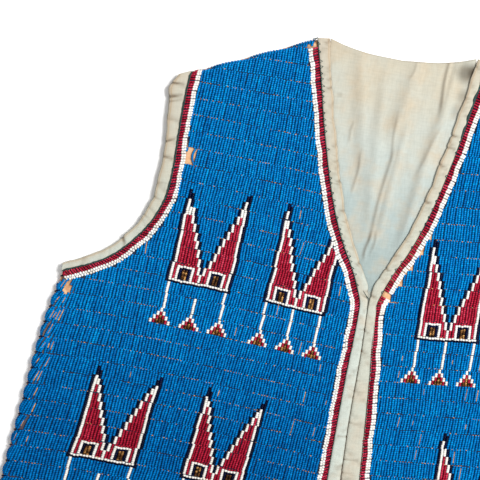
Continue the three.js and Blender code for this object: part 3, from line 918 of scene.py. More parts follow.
def place_beads(wearer, dice):
    """All beads of a front, before any is left out."""
    fall = FALL[wearer]
    lanes, strings = np.arange(-LANES_BELOW, LANES_ABOVE), np.arange(-STRINGS, STRINGS + 1)
    grid = np.meshgrid(lanes, strings, np.arange(BEADS), indexing="ij")
    lane, string, row = (a.ravel() for a in grid)
    lot = (lane + LANES_BELOW, string + STRINGS)

    def each_string(spread_of):
        return dice.normal(0, spread_of, (len(lanes), len(strings)))[lot]

    share = (row + 0.5) / BEADS  # up the lane
    t = mix(lane_at(lane) + TAUT / 2, lane_at(lane + 1) - TAUT / 2, share) + each_string(SLIP)
    wave = dice.uniform(0, 2 * math.pi, len(lanes))[lot[0]]
    t = t + 0.22 * np.sin(0.31 * string + wave) + dice.normal(0, 0.04, len(t))
    x, wider = string_x(wearer, string, t)
    sway = SWAY * np.sin(0.045 * x + wave) + each_string(0.012)
    wobble = each_string(0.09), dice.normal(0, 0.06, len(t))
    x = x + wobble[0] + wobble[1] + 0.5 * np.sin(0.02 * x + 2 * wave) + sway * (share - 0.5) * LANE
    slope = lean_shift(wearer, t)[1] + sway
    near = (SIGN[wearer] * x > 2) & (np.abs(x) < 275)
    slack = side_slack(np.abs(x), lane_height(x, t, fall))
    extra = slack * (SLACK_LEAN[wearer] + each_string(0.1))
    x = x + extra * (share - 0.5) * LANE + slack * each_string(0.35)
    y = lane_height(x, t, fall)
    return dict(
        lane=lane, string=string, row=row, t=t, x=x, y=y, slope=slope + extra, share=share, wider=wider,
        inside=fold_place(np.abs(x), y)[0], tall=lane_at(lane + 1) - lane_at(lane), slack=slack, near=near,
    )


print("strings lean in degrees:", {w: round(math.degrees(math.atan(lean_shift(w, 0)[1])), 1) for w in SIGN})

# %% [markdown]
# Not every bead is sewn on. A bead stays where it clears the border lane, and it goes on round the fold
# at the side and shoulder. The panel could be cut out with a boolean, but that would slice beads in
# two, so whole beads are left out instead, and so are strings too short to be worth a thread. Then the
# figures are counted in.

# %% Lay out the lanes of one front
WRAP_MOST = 2.45  # how far round the fold the beads go, in radians
CLEAR = BORDER - 0.65  # from a cut edge to the middle of the nearest bead
STEPS = (9.0, 52.0)  # between these heights the left front's border cuts no string short: they are left out
MIXED, TALL, SNUG = ("short", "tall", "short"), ("tall", "tall", "long"), ("snug", "snug", "short")
FIGURES = {  # lane of the feet: x of the middle string at the base, how both horns end, middle leg
    "right": {
        0: [(-122.6, MIXED), (-52.6, TALL)], -12: [(-174.4, SNUG), (-93.4, SNUG)],
        -24: [(-206.0, MIXED), (-128.0, TALL), (-56.0, SNUG)],
    },
    "left": {
        -1: [(60.5, TALL), (131.0, TALL)], -13: [(85.5, TALL), (164.0, SNUG)],
        -25: [(56.0, TALL), (128.0, MIXED), (200.0, SNUG)],
    },
}


def sewn_on(wearer, beads, dice):
    """Which beads are there."""
    x, y, lot = beads["x"], beads["y"], (beads["lane"] + LANES_BELOW, beads["string"] + STRINGS)
    size = (LANES_BELOW + LANES_ABOVE, 2 * STRINGS + 1)
    clear = CLEAR - 4.3 * ((y > 174.6) & (wearer == "right"))
    keep = beads["near"] & (beads["inside"] > FOLD - WRAP_MOST * FOLD) & (y > HEM + BORDER - 0.35)
    for path in (ARM_PATH, NECK_PATH):
        keep &= inside_of(path, np.abs(x), y) > clear
    keep &= ~((beads["slack"] > 0.3) & (dice.uniform(size=size)[lot] < 0.02))
    for bare_x, bare_y, wide, high, lean in BARE[wearer]:
        middle = bare_x + lean * (y - bare_y)
        keep &= (np.abs(x - middle) > wide) | (np.abs(y - bare_y) > high)
    left_on = keep.reshape(*size, BEADS).sum(2)[lot]
    stepped = (wearer == "left") & (np.abs(x) < 80) & (y > STEPS[0]) & (y < STEPS[1])
    return keep & (left_on >= np.where(stepped, 6, 2))


def colours_of(wearer, beads):
    """Blue everywhere, and the chart's colours where a figure stands."""
    colour = np.full(len(beads["x"]), BLUE)
    strings = np.arange(-STRINGS, STRINGS + 1)
    for foot_lane, figures in FIGURES[wearer].items():
        level = lane_at(foot_lane + BASE_UP)
        for middle, kinds in figures:
            centre = strings[np.argmin(np.abs(string_x(wearer, strings, level)[0] - middle))]
            counts = chart(*kinds)
            down = foot_lane + FIGURE_LANES - 1 - beads["lane"]
            along = beads["string"] - centre + MIDDLE + FEET_PAST
            on = (down >= 0) & (down < FIGURE_LANES) & (along >= 0) & (along < counts.shape[1])
            colour[on] = counts[down[on], along[on], BEADS - 1 - beads["row"][on]]
    return colour


def dice_of(wearer, right_seed, left_seed):
    """Random numbers that are the same in each run, and other ones for each side."""
    return np.random.default_rng(right_seed if wearer == "right" else left_seed)


def lay_out(wearer):
    dice = dice_of(wearer, 11, 23)
    beads = place_beads(wearer, dice)
    beads["colour"] = colours_of(wearer, beads)
    keep = sewn_on(wearer, beads, dice)
    return {label: values[keep] for label, values in beads.items()}


layouts = {wearer: lay_out(wearer) for wearer in SIGN}
print("beads in the lanes:", {w: len(v["x"]) for w, v in layouts.items()})

# %% [markdown]
# Each bead needs a frame of its own: the way along its string, the way to the next string, and up out of
# the panel. A shrinkwrap would lay beads on the hide but leave them upright. We read the three ways from
# the wrapped surface by taking small steps along both, so the beads tip over the folds by themselves.
# Strings hump up a little in mid lane and are pulled down at its ends.

# %% Sew the lanes
SPLIT_LANE = -8  # blue beads above and below this lane are two pieces, to keep each one light
BY_FOLD, ON_FLAT = (2.2, 3.5 * GROOVE), (2.6, 1.3 * GROOVE)  # how square a lane's section is, and how high
STRING_TONE, BEAD_TONE = 0.08, 0.13  # spread of the tone from string to string and from bead to bead
END_BEAD_SHADE = 0.6  # how much darker a lane's end beads are by the fold
DARKER_TOWARDS_HEM = 0.26  # how much darker the right front is towards the hem
LOTS, FIRST_LOT = (60, 320), (30, 155)  # a table of random numbers, and where lane 0 and string 0 are in it


def frames_on(x, y, along, depth):
    """Centre and three unit ways at places of a panel, for strings that run in the flat way `along`."""
    step = 0.4
    ahead = on_front(x + along[:, 0] * step, y + along[:, 1] * step, depth)
    behind = on_front(x - along[:, 0] * step, y - along[:, 1] * step, depth)
    beside = on_front(x + along[:, 1] * step, y - along[:, 0] * step, depth)
    other = on_front(x - along[:, 1] * step, y + along[:, 0] * step, depth)
    way, across = unit(ahead - behind), unit(beside - other)
    return on_front(x, y, depth), across, way, unit(np.cross(across, way))


def lane_tones(wearer, beads, flat, dice):
    count = len(beads["x"])
    lot = (beads["lane"] + FIRST_LOT[0], beads["string"] + FIRST_LOT[1])
    tone = dice.normal(0.5, STRING_TONE, LOTS)[lot] + dice.normal(0, BEAD_TONE, count)
    # painted shade: by the side fold a lane's end beads are darker, in the crevices between the rolls
    last = np.abs(2 * beads["share"] - 1) > 0.8
    tone = np.clip(tone - END_BEAD_SHADE * (1 - flat) * last, 0, 1)
    low = DARKER_TOWARDS_HEM * ease(-beads["y"], 10, 140) * (wearer == "right")
    speckled = dice.uniform(0, 1, count)
    return np.clip(np.where(beads["colour"] == BRONZE, speckled, tone - low), 0, 1)


def sew_lanes(wearer):
    beads, fall, dice = layouts[wearer], FALL[wearer], dice_of(wearer, 5, 9)
    x, t, slope, count = beads["x"], beads["t"], beads["slope"], len(beads["x"])
    flat = ease(beads["inside"], -1, 5)  # near the side fold the lanes stand out as rounded rolls
    square, high = (mix(a, b, flat) for a, b in zip(BY_FOLD, ON_FLAT))
    hump = np.abs(2 * beads["share"] - 1) ** square * high
    depth = hump + BEAD_HIGH + dice.uniform(0, 0.12, count)
    step = 0.5
    ahead, behind = (lane_height(x + slope * s, t + s, fall) for s in (step, -step))
    along = np.stack([slope, (ahead - behind) / (2 * step)], -1)
    length = np.linalg.norm(along, axis=1, keepdims=True)
    centre, across, way, up = frames_on(x, beads["y"], along / length, depth)
    half_long = ((beads["tall"] - TAUT) / BEADS / 2)[:, None] * length * 0.99
    wide = (RIB / 2 * beads["wider"] * dice.uniform(0.97, 1.05, count))[:, None]
    tone = lane_tones(wearer, beads, flat, dice)
    upper = beads["lane"] >= SPLIT_LANE
    groups = [(c, np.ones(count, bool), COLOUR_NAMES[c]) for c in (WHITE, RED, NAVY, BRONZE)]
    groups += [(BLUE, upper, "blue_upper"), (BLUE, ~upper, "blue_lower")]
    made = []
    for colour, part, label in groups:
        pick = (beads["colour"] == colour) & part
        made.append(copies(
            f"{wearer}_front_beads_{label}", BEAD, bead_shape, centre[pick],
            across[pick] * wide[pick] * MM, way[pick] * half_long[pick] * MM, up[pick] * BEAD_HIGH * MM,
            tone[pick], FINISH[colour],
        ))
    return made


beadwork = {wearer: sew_lanes(wearer) for wearer in SIGN}
for wearer, made in beadwork.items():
    print(wearer, "bead faces:", sum(len(p.data.polygons) for p in made))

# %% [markdown]
# A narrow lane closes every cut edge. Its strings stand across the edge, each with five beads: two
# white ones inside and three smaller crimson ones outside. An array along a curve would keep them in
# step, but the thread pulls these along the edge: the strings lean, each end is a little out of line,
# and the border is wavy.

# %% Border lanes
BORDER_RIB = 1.93
BORDER_MIDDLE = np.array([0.62, 1.86, 3.1, 4.53, 6.17])  # of its five beads, from the edge
BORDER_LONG = np.array([0.62, 0.62, 0.62, 0.8, 0.8])  # half lengths: three crimson beads, two white
BORDER_WIDE = {RED: 0.42, WHITE: 0.485}  # half widths, as shares of BORDER_RIB
BORDER_ACROSS = 3.4  # the middle of a string, round which it leans
BORDER_LEAN = {"right": (-0.22, -0.5), "left": (-0.05, 0.22)}  # of its strings, above and below the V's end


def border_strings(wearer, dice):
    """Where each string starts, the way in across the edge, and how it is skewed from that way."""
    runs = ((ARM_PATH, 1), (NECK_PATH, 1), (HEM_PATH, -1))
    walked = [(*walk(path, BORDER_RIB, 0.9), side) for path, side in runs]
    place = np.concatenate([p for p, _, _ in walked])
    inward = np.concatenate([right_of(w) * side for _, w, side in walked])
    on_arm = np.arange(len(place)) < len(walked[0][0])
    keep = np.ones(len(place), bool)
    for x, y, reach in BORDER_BARE[wearer]:
        keep &= np.hypot(SIGN[wearer] * place[:, 0] - x, place[:, 1] - y) > reach
    place, inward, on_arm = place[keep], inward[keep], on_arm[keep]
    count, y, aside = len(place), place[:, 1], -right_of(inward)
    above, below = BORDER_LEAN[wearer]
    lean = np.where(on_arm, -0.2 - 0.35 * ease(-y, -90, -40), mix(below, above, ease(y, -8, 6)))
    skew = (dice.normal(0, 0.07, count) + lean)[:, None] * aside
    turn = np.arange(count)
    wave = 0.32 * np.sin(turn * 0.41 + np.sin(turn * 0.17))
    wave = wave + 0.24 * np.sin(turn * 0.13 + 2 * np.sin(turn * 0.031)) + dice.normal(0, 0.12, count)
    place = place - skew * BORDER_ACROSS + inward * (wave - 0.1)[:, None]
    return place + dice.normal(0, 0.08, (count, 1)) * aside, inward, skew


def sew_border(wearer):
    sign, dice = SIGN[wearer], dice_of(wearer, 31, 37)
    place, inward, skew = border_strings(wearer, dice)
    count, five = len(place), len(BORDER_MIDDLE)
    number, owner = np.tile(np.arange(five), count), np.repeat(np.arange(count), five)
    flat = place[owner] + (inward + skew)[owner] * BORDER_MIDDLE[number][:, None]
    depth = BEAD_HIGH + 0.05 + 0.5 * (number == 0) + 0.15 * (number == five - 1)
    depth = depth + dice.uniform(0, 0.15, len(number))
    along = unit((inward + skew)[owner] * np.array([sign, 1.0]))
    centre, across, way, up = frames_on(sign * flat[:, 0], flat[:, 1], along, depth)
    tone = np.clip(dice.normal(0.5, 0.22, count)[owner] + dice.normal(0, 0.15, len(number)), 0, 1)
    made = []
    for colour, pick in ((RED, number < 3), (WHITE, number >= 3)):
        made.append(copies(
            f"{wearer}_border_{COLOUR_NAMES[colour]}", BEAD, bead_shape, centre[pick],
            across[pick] * BORDER_RIB * BORDER_WIDE[colour] * MM,
            way[pick] * BORDER_LONG[number[pick]][:, None] * MM, up[pick] * BEAD_HIGH * MM,
            tone[pick], FINISH[colour],
        ))
    return made


borders = {wearer: sew_border(wearer) for wearer in SIGN}
print("border pieces:", [p.name for made in borders.values() for p in made])

# %% [markdown]
# The back lies face down. Its hide is one sheet with the outline of both fronts, and its beads hang
# under it, with their lowest points on the table. They could be single beads like the fronts', but
# nobody sees them unless the vest is turned over, so here one arch stands for a whole string, and bump
# gives the beads along it.

# %% Hide of the back
BACK_HIDE_LOW = 1.5
NECK_LOWER = 2.2  # the back's neck lies this far below the lining's folded top


def back_top(x):
    """The top line of the back: both shoulders, and the neck between them."""
    away = np.abs(x)
    shoulder = mix(NECK[1], SHOULDER[1], (away - NECK[0]) / (SHOULDER[0] - NECK[0]))
    corner_x, corner_y = NECKLINE[-1]
    rise = mix(corner_y - NECK_LOWER, NECK[1], (away - corner_x) / (NECK[0] - corner_x))
    neck = np.where(away > corner_x, rise, neckline(np.minimum(away, corner_x)) - NECK_LOWER)
    return np.where(away >= NECK[0], shoulder, neck)


def back_hide_place(across, up):
    level = mix(HEM, SHOULDER[1], up)
    share = across * 2 - 1
    x = share * (outline(level) - 1.2)
    y = mix(HEM + 0.6, back_top(share * SHOULDER[0]) - 1.0, up)
    return np.stack([x, y + RISE, np.full(x.shape, BACK_TOP)], -1) * MM


back_hide = sheet("back_hide", 60, 90, back_hide_place, BACK_TOP - BACK_HIDE_LOW, HIDE)
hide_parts("back")
print("back hide:", len(back_hide.data.vertices))

# %% [markdown]
# The strings of the back run straight up and down in level lanes, cut off at the armholes and shoulders.
# Cosine bump along each arch marks its eight beads.

# %% Strings of the back
BACK_STRINGS = 130  # on each side of the centre
SHORTEST = 2.5  # strings shorter than this aren't sewn


def arm_level(x):
    """Height at which the armhole cuts a line at a distance from the centre, or no limit."""
    levels = np.linspace(UNDERARM[1], SHOULDER[1], 300)
    widths = armhole_edge(levels)
    return np.where(np.abs(x) > widths.min() - 1, np.interp(np.abs(x), widths[::-1], levels[::-1]), 400)


def sew_back():
    dice = np.random.default_rng(71)
    lanes, strings = np.arange(-LANES_BELOW, LANES_ABOVE), np.arange(-BACK_STRINGS, BACK_STRINGS + 1)
    lane, string = (a.ravel() for a in np.meshgrid(lanes, strings, indexing="ij"))
    x = string * RIB + dice.normal(0, 0.07, len(string))
    middle = FEET_LINE + (lane + 0.5) * LANE
    top = np.minimum(back_top(x) - 2.5, arm_level(x))
    low = np.maximum(middle - LANE / 2, HEM + 1.5)
    high = np.minimum(middle + LANE / 2, top)
    edge = np.minimum(outline(np.clip(low, HEM, 170)), outline(np.clip(high, HEM, 170)))
    keep = (high - low > SHORTEST) & (np.abs(x) < edge - 2.2)
    x, low, high = x[keep], low[keep], high[keep]
    count = len(x)
    centre = np.stack([x, (low + high) / 2 + RISE, np.full(count, BEAD_HIGH + 0.03)], -1) * MM
    none, one = np.zeros(count), np.ones(count)
    across = np.stack([-one * RIB * 0.49, none, none], -1) * MM
    along = np.stack([none, (high - low - TAUT) / 2, none], -1) * MM
    up = np.stack([none, none, -one * BEAD_HIGH], -1) * MM
    tone = np.clip(dice.normal(0.5, 0.15, count), 0, 1)
    return copies("back_beads", STRING, string_shape, centre, across, along, up, tone, BACK_BLUE)


def string_finish():
    """Blue beads on the hidden side: one arch for a string, and bump for the beads along it."""
    material, nodes, links, shader = new_finish("blue glass strings")
    shades = [(0, 84, 158), (0, 110, 190), (16, 134, 208)]
    colour = ramp(nodes, links, written(nodes, "tone"), stops((0, 0.5, 1), shades))
    links.new(colour, shader.inputs["Base Color"])
    shader.inputs["Roughness"].default_value = 0.32
    turns = maths(nodes, links, "MULTIPLY", written(nodes, "along"), BEADS * math.pi)
    bump(nodes, links, shader, maths(nodes, links, "COSINE", turns), 0.8, 0.0003)
    return material


BACK_BLUE = string_finish()
back_beads = sew_back()
print("back strings:", len(back_beads.data.polygons) // len(STRING[2]))

# %% [markdown]
# Cotton tape binds every cut edge. It is soft and hand sewn, so its width and height waver and small
# puckers cross it. A cloth simulation would settle it differently each time it is changed, so each tape
# is a closed band whose section is squashed between its sewn edge, next to the beads, and its free
# edge. Waves along it and pinches across it do what the thread does.

# %% One tape
def tape_section(turn):
    """Share across and share up of a tape's section, going once round."""
    angle = 2 * math.pi * turn
    across = 0.5 - 0.5 * np.sign(np.cos(angle)) * np.abs(np.cos(angle)) ** 0.6
    up = 0.5 + 0.5 * np.sign(np.sin(angle)) * np.abs(np.sin(angle)) ** 0.7
    return across, up


def waver(along, seed, waves):
    """An uneven wave between -1 and 1, from a few sines of unlike length."""
    dice = np.random.default_rng(seed)
    total = np.zeros(np.shape(along))
    for count, size in waves:
        total = total + size * np.sin(2 * math.pi * (count * along + dice.uniform()))
    return total


def tape(
    name, sewn, free, low, high, rows, seed, pucker, wobble=np.ones_like, stain=np.ones_like, pinches=()
):
    """A tape between two edges, which take the share along and give x and y on the panel.

    low and high give the heights of its two sides. Its rows are closer where it has pinches."""

    def folds(across, along):
        waves = ((rows / 6, 0.5), (rows / 3.7, 0.35), (rows / 2.6, 0.2))
        return waver(along + 0.02 * across, seed + 1, waves)

    def pinched(across, along):
        """1 in the creases that cross the tape at given heights, 0 away from them."""
        y, total = sewn(along)[:, 1], np.zeros(np.shape(along))
        for at, width, slant, strength in pinches:
            total = total + strength * np.exp(-(((y - at - slant * (across - 0.5)) / width) ** 2))
        return np.minimum(total, 1) * ease(across, 0.1, 0.5)

    def place(turn, along):
        across, up = tape_section(turn)
        length = 0.3 * waver(along, seed, ((rows / 14, 1), (rows / 9, 0.6), (rows / 5, 0.4))) * wobble(along)
        near, far = sewn(along), free(along)
        drawn = 0.7 * pinched(across, along)
        further = (length * across * pucker - drawn)[:, None]
        flat = near + (far - near) * across[:, None] + unit(far - near) * further
        ripple = 0.3 * pucker * folds(across, along) * np.sin(math.pi * np.clip(across, 0, 1))
        z = low(along) + (high(along) - low(along) + ripple - drawn) * up
        return np.stack([flat[:, 0], flat[:, 1] + RISE, z], -1) * MM

    def values(turn, along):
        across, _ = tape_section(turn)
        # crease is painted shade: in the troughs of the folds, in the pinches and along both edges of the
        # band
        darkening = 0.26 * ease(-folds(across, along), 0.1, 0.95) * (pucker > 0.9) + 0.5 * ease(across, 0.95, 1)
        darkening = darkening + 0.8 * pinched(across, along) + 0.35 * ease(-across, -0.1, 0)
        return {"edge": across * (pucker > 0.9) * stain(along), "crease": np.clip(darkening, 0, 1)}

    cotton_of = TAPES["left" if name.startswith("left") else "right"]
    fine = 3 if len(pinches) else 1
    piece = band(f"{name}_tape", rows * fine, 14, place, cotton_of, values)
    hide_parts(name)
    return piece


print("a tape's section in steps of a quarter turn:", tape_section(np.arange(4) / 4)[0].round(2))

# %% [markdown]
# The front's tape runs from the neck to the hem. It lies on the lining as far as the V goes, and on the
# tape of the other front below it, where the two meet. Hand stitches draw it in at uneven places, so
# small pinches are strewn over it, most of them faint.

# %% Tapes of the neck and centre
TAPE_HIGH = 2.1  # cotton turned over the edge
HEM_END = HEM - SEAM - HEM_TAPE
MEETING = 0.12  # half the gap between the two fronts below the V
NECK_UNDER = {"right": 0.2, "left": 0.8}  # how far the beads lie over the tape's sewn edge below the V
PUCKERS = {  # seed, how many, lowest and highest, slant: above the V's end, then below it
    "right": [(5, 24, 12, 176, 5.0), (7, 40, HEM, 5, 1.0)],
    "left": [(6, 24, 12, 176, 5.0), (8, 40, HEM, 5, 1.0)],
}


def puckers(seed, count, low, high, slant):
    """Small creases across a front tape at uneven heights, most of them faint."""
    dice = np.random.default_rng(seed)
    return np.column_stack([
        dice.uniform(low, high, count), dice.uniform(0.45, 0.95, count), slant + dice.normal(0, 2.5, count),
        dice.uniform(0.1, 0.4, count) + 0.35 * (dice.uniform(size=count) < 0.2),
    ])


def tape_low(y):
    """Underside of a front's tape. It lies on the lining above the V and on the other layer below it."""
    return mix(FRONT_UNDER, 4.6, ease(y, -42, -16))


def tape_top(y):
    return np.minimum(tape_low(y) + TAPE_HIGH, FRONT_TOP - 0.2)


def front_tape(wearer):
    sign = SIGN[wearer]

    def height(along):
        return mix(NECK[1] - 0.2, HEM_END, along)

    def sewn(along):
        y = height(along)
        under = NECK_UNDER[wearer] * ease(-y, 0, 12) - 0.1
        return np.stack([sign * (front_edge(y) + under), y], -1)

    def free(along):
        y = height(along)
        meeting = sign * MEETING - 2.0 * ease(-y, 30, 100) * ease(y, HEM, HEM + 80)
        x = mix(sign * tape_edge(y), meeting, ease(-y, 2, 12))
        return np.stack([x, y + (TOP - NECK[1]) * ease(y, NECK[1] - 22, NECK[1])], -1)

    return tape(
        f"{wearer}_front_binding", sewn, free, lambda a: tape_low(height(a)), lambda a: tape_top(height(a)),
        220, 3 if wearer == "right" else 4, 1.0, lambda a: ease(height(a), 0, 12),
        lambda a: ease(height(a), -5, 30), np.concatenate([puckers(*row) for row in PUCKERS[wearer]]),
    )


print("pinches in a front tape:", sum(row[1] for row in PUCKERS["right"]))

# %% [markdown]
# The armhole's tape is sewn round a bend, so it is drawn into creases. Each is listed where a
# maker's stitch pulls hard. The back has a tape of its own under the front's, and the hem's tapes
# are straight.

# %% Tapes of the armholes and the hem
PINCHES = {  # creases across the armhole tapes: height, half width, slant, strength
    "right": [
        (134.5, 0.8, 1.5, 1), (125.5, 1.1, -3.0, 1), (122.0, 0.7, -2.0, 0.6), (108.0, 0.9, 2.0, 0.3),
        (94.0, 0.9, -3.0, 1), (80.0, 0.7, 2.0, 0.9), (61.0, 0.8, -2.0, 0.35), (48.0, 0.8, 2.0, 0.5),
        (33.0, 0.8, 1.0, 0.35), (12.5, 0.8, 1.0, 0.8),
    ],
    "left": [(128.0, 0.9, 2.0, 0.9), (101.0, 0.8, -2.0, 0.7), (66.0, 0.8, 2.5, 0.8), (24.0, 0.8, 1.0, 0.8)],
}
BACK_TAPE_LOW = 0.3  # underside of the back's tapes
HEM_FROM, HEM_TO = float(front_edge(HEM)) + 0.3, float(side_edge(HEM)) - 2.2


def level(height):
    """A height that is the same all along a tape."""
    return lambda along: np.full(np.shape(along), height)


def armhole_tape(wearer, name, low, pucker, pinches=()):
    sign = SIGN[wearer]
    stations = np.linspace(0, 1, len(ARMHOLE))
    sewn_y, free_x, free_y = (smooth_curve(stations, ARMHOLE[:, column]) for column in (1, 2, 3))

    def sewn(along):
        y = sewn_y(along)
        edge = np.stack([armhole_edge(y), y], -1)
        out = np.stack([free_x(along), free_y(along)], -1) - edge
        edge = edge + 0.15 * out / np.linalg.norm(out, axis=1, keepdims=True)
        return edge * np.array([sign, 1.0])

    def free(along):
        return np.stack([sign * free_x(along), free_y(along)], -1)

    seed = 14 if wearer == "right" else 15
    return tape(name, sewn, free, level(low), level(low + TAPE_HIGH), 90, seed, pucker, pinches=pinches)


def hem_tape(name, start, end, low, seed):
    def sewn(along):
        return np.stack([mix(start, end, along), np.full(np.shape(along), HEM - 0.2)], -1)

    def free(along):
        return np.stack([mix(start, end, along), np.full(np.shape(along), HEM_END)], -1)

    return tape(name, sewn, free, level(low), level(low + TAPE_HIGH), 110, seed, 0.7)


tapes = []
for wearer, sign in SIGN.items():
    tapes.append(front_tape(wearer))
    tapes.append(armhole_tape(wearer, f"{wearer}_armhole_binding", FRONT_UNDER, 1.0, PINCHES[wearer]))
    tapes.append(armhole_tape(wearer, f"{wearer}_back_armhole_binding", BACK_TAPE_LOW, 0.4))
    tapes.append(hem_tape(f"{wearer}_hem_binding", sign * HEM_FROM, sign * HEM_TO, FRONT_UNDER, 41))
tapes.append(hem_tape("back_hem_binding", -HEM_TO, HEM_TO, BACK_TAPE_LOW, 43))
print("tapes:", len(tapes))

# %% [markdown]
# Behind the neck shows the lining: one sheet of old cotton, folded over at the top. It has a few long
# soft creases, sharper near the wearer's left shoulder, and smaller ones between them. A simulated cloth
# would give creases of its own choosing. Here each is a ridge or trough placed one by one, fading out at
# its ends, and shade is painted beside the sharp ones and in the wide troughs.

# %% Lining
CREASES = np.array([  # top x, top y, foot x, foot y, width, height: all mm. The narrow ones look dark.
    (34.2, 176, 32.3, 140, 2.6, 0.9), (40.0, 176, 35.0, 135, 5.0, 0.9), (2.7, 131, 2.2, 101, 2.4, 0.5),
    (2.2, 101, -4.9, 45, 3.0, 0.7), (-4.9, 45, -7.5, 27, 2.6, 0.9), (-0.6, 46, -2.2, 32, 2.2, 0.4),
    (11.5, 172, 7.8, 160, 2.2, 0.4), (-28.3, 122.5, -29.9, 109.5, 2.2, 0.4),
    (-19.5, 101, -21.7, 75, 2.5, 0.5), (35.0, 128, 21.8, 93, 3.0, 0.4),
    (33.7, 138, 16.3, 34, 7.0, 1.1), (12.0, 172, 2.0, 118, 10.0, 1.0),
    (-30.0, 172, -14.0, 80, 10.0, 0.9), (-10.0, 150, -8.0, 50, 8.0, 0.8), (10.0, 120, -1.0, 40, 6.0, 0.8),
])
SHARP = 3.1  # creases up to this width are pressed in, with painted shade beside them
LINING_FOOT = -12.0  # it ends under the tapes, below the V
LINING_UP = 4.3  # upper side where it is smooth
LINING_CLEAR = 2.2  # from the front's cut edge to its own


def crease_height(x, y, beside=0.0, widest=99.0):
    """Height of all creases up to a width, read a share of their width to one side."""
    height = np.zeros(x.shape)
    for top_x, top_y, foot_x, foot_y, width, high in CREASES[CREASES[:, 4] <= widest]:
        along = (top_y - y) / (top_y - foot_y)
        centre = mix(top_x, foot_x, along) + 0.5 * np.sin(along * 5 + top_x) + beside * width
        fade = ease(along, -0.3, 0.15) * (1 - ease(along, 0.75, 1.2))
        height = height + high * fade * np.exp(-(((x - centre) / (width / 2)) ** 2))
    return height


def lining_place(across, up):
    share = across * 2 - 1
    half = front_edge(mix(LINING_FOOT, NECK[1] - 1, up)) - LINING_CLEAR
    top_x = share * NECKLINE[-1, 0]
    x = mix(share * half, top_x, ease(up, 0.8, 1))
    top_y = neckline(np.abs(top_x))
    y = mix(LINING_FOOT, top_y, up)
    roll = 0.45 * ease(y, top_y - 5, top_y - 1) - 0.7 * ease(y, top_y - 0.8, top_y)
    clear = 1 - ease(np.abs(x), np.maximum(half - 12, 0), np.maximum(half - 5, 0.1))
    rumple = 0.05 * np.sin(x * 0.9 + 3 * np.sin(y * 0.06)) * np.sin(y * 0.13 + x * 0.1)
    z = LINING_UP + (crease_height(x, y) + roll + rumple) * clear * ease(y, 12, 40)
    return np.stack([x, y + RISE, z], -1) * MM


def lining_values(across, up):
    x, y = (lining_place(across, up) / MM)[:, :2].T
    # crease is painted shade beside the sharp creases and in the wide troughs, and darker along the folded
    # top
    crease_shade = crease_height(x, y - RISE, -0.3, SHARP) * 0.5
    trough_shade = crease_height(x, y - RISE, -0.45) - crease_height(x, y - RISE, -0.45, SHARP)
    crease_shade = crease_shade + 0.17 * trough_shade * ease(np.abs(y - RISE - 75), 110, 60)
    top = neckline(np.abs((across * 2 - 1) * NECKLINE[-1, 0]))
    return {"crease": np.clip(crease_shade + 0.3 * ease(y - RISE, top - 1.6, top - 0.4), 0, 0.8)}


lining = sheet("back_lining_cloth", 150, 150, lining_place, 0.8, LINING, lining_values)
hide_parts("back_lining")
print("lining:", len(lining.data.vertices))

# %% [markdown]
# A dark green braid lies between beads and tape along the neck, the centre and the armholes. It could be
# a bevelled curve, but its width changes along its way, so it is a band with a round section.

# %% Braid
NECK_REACH = {  # half width of the braid along the neck, at a height
    "right": lambda y: 0.4 - 0.15 * ease(-y, 6, 30),
    "left": lambda y: 0.1 + 0.25 * ease(y, 0, 60) + 0.75 * ease(y, 104, 134),
}
BRAID_UP = 5.5  # its middle


def braid(name, path, sign, reach):
    total = lengths_along(path)[-1]

    def place(turn, along):
        centre, way = path_at(path, along * total, 0.8)
        angle = 2 * math.pi * turn
        wide = reach(centre[:, 1]) * (1 + 0.25 * waver(along, 8, ((40, 0.6), (71, 0.4))))
        flat = centre + right_of(way) * (0.2 - wide - wide * np.cos(angle))[:, None]
        z = BRAID_UP + 0.6 * np.maximum(wide - 0.6, 0) + 0.8 * np.sin(angle)
        return on_front(sign * flat[:, 0], flat[:, 1], FRONT_TOP - z)

    return band(name, int(total / 2.2), 8, place, GREEN)


braids = []
for wearer, sign in SIGN.items():
    braids.append(braid(f"{wearer}_neck_braid", NECK_PATH, sign, NECK_REACH[wearer]))
    braids.append(braid(f"{wearer}_armhole_braid", ARM_PATH, sign, lambda y: 0.62))
print("braids:", len(braids))

# %% [markdown]
# In places two strings of a lane stand apart, and tan thread and hide show between them. Gaps could be
# left in the beads and the hide seen through them, but they are so narrow that they look black. Thin
# tan lines between the strings show what the eye sees.

# %% Threads in the gaps
GAPS = {  # where strings stand a little apart: share of strings, x from and to, y from and to
    "right": [(0.005, -200, 0, -160, 180), (0.03, -60, -10, -130, -30)],
    "left": [(0.008, 0, 240, -160, 180), (0.045, 12, 90, -120, -30)],
}
BY_SIDE = 0.5  # share of the strings beside the side fold, under the arm


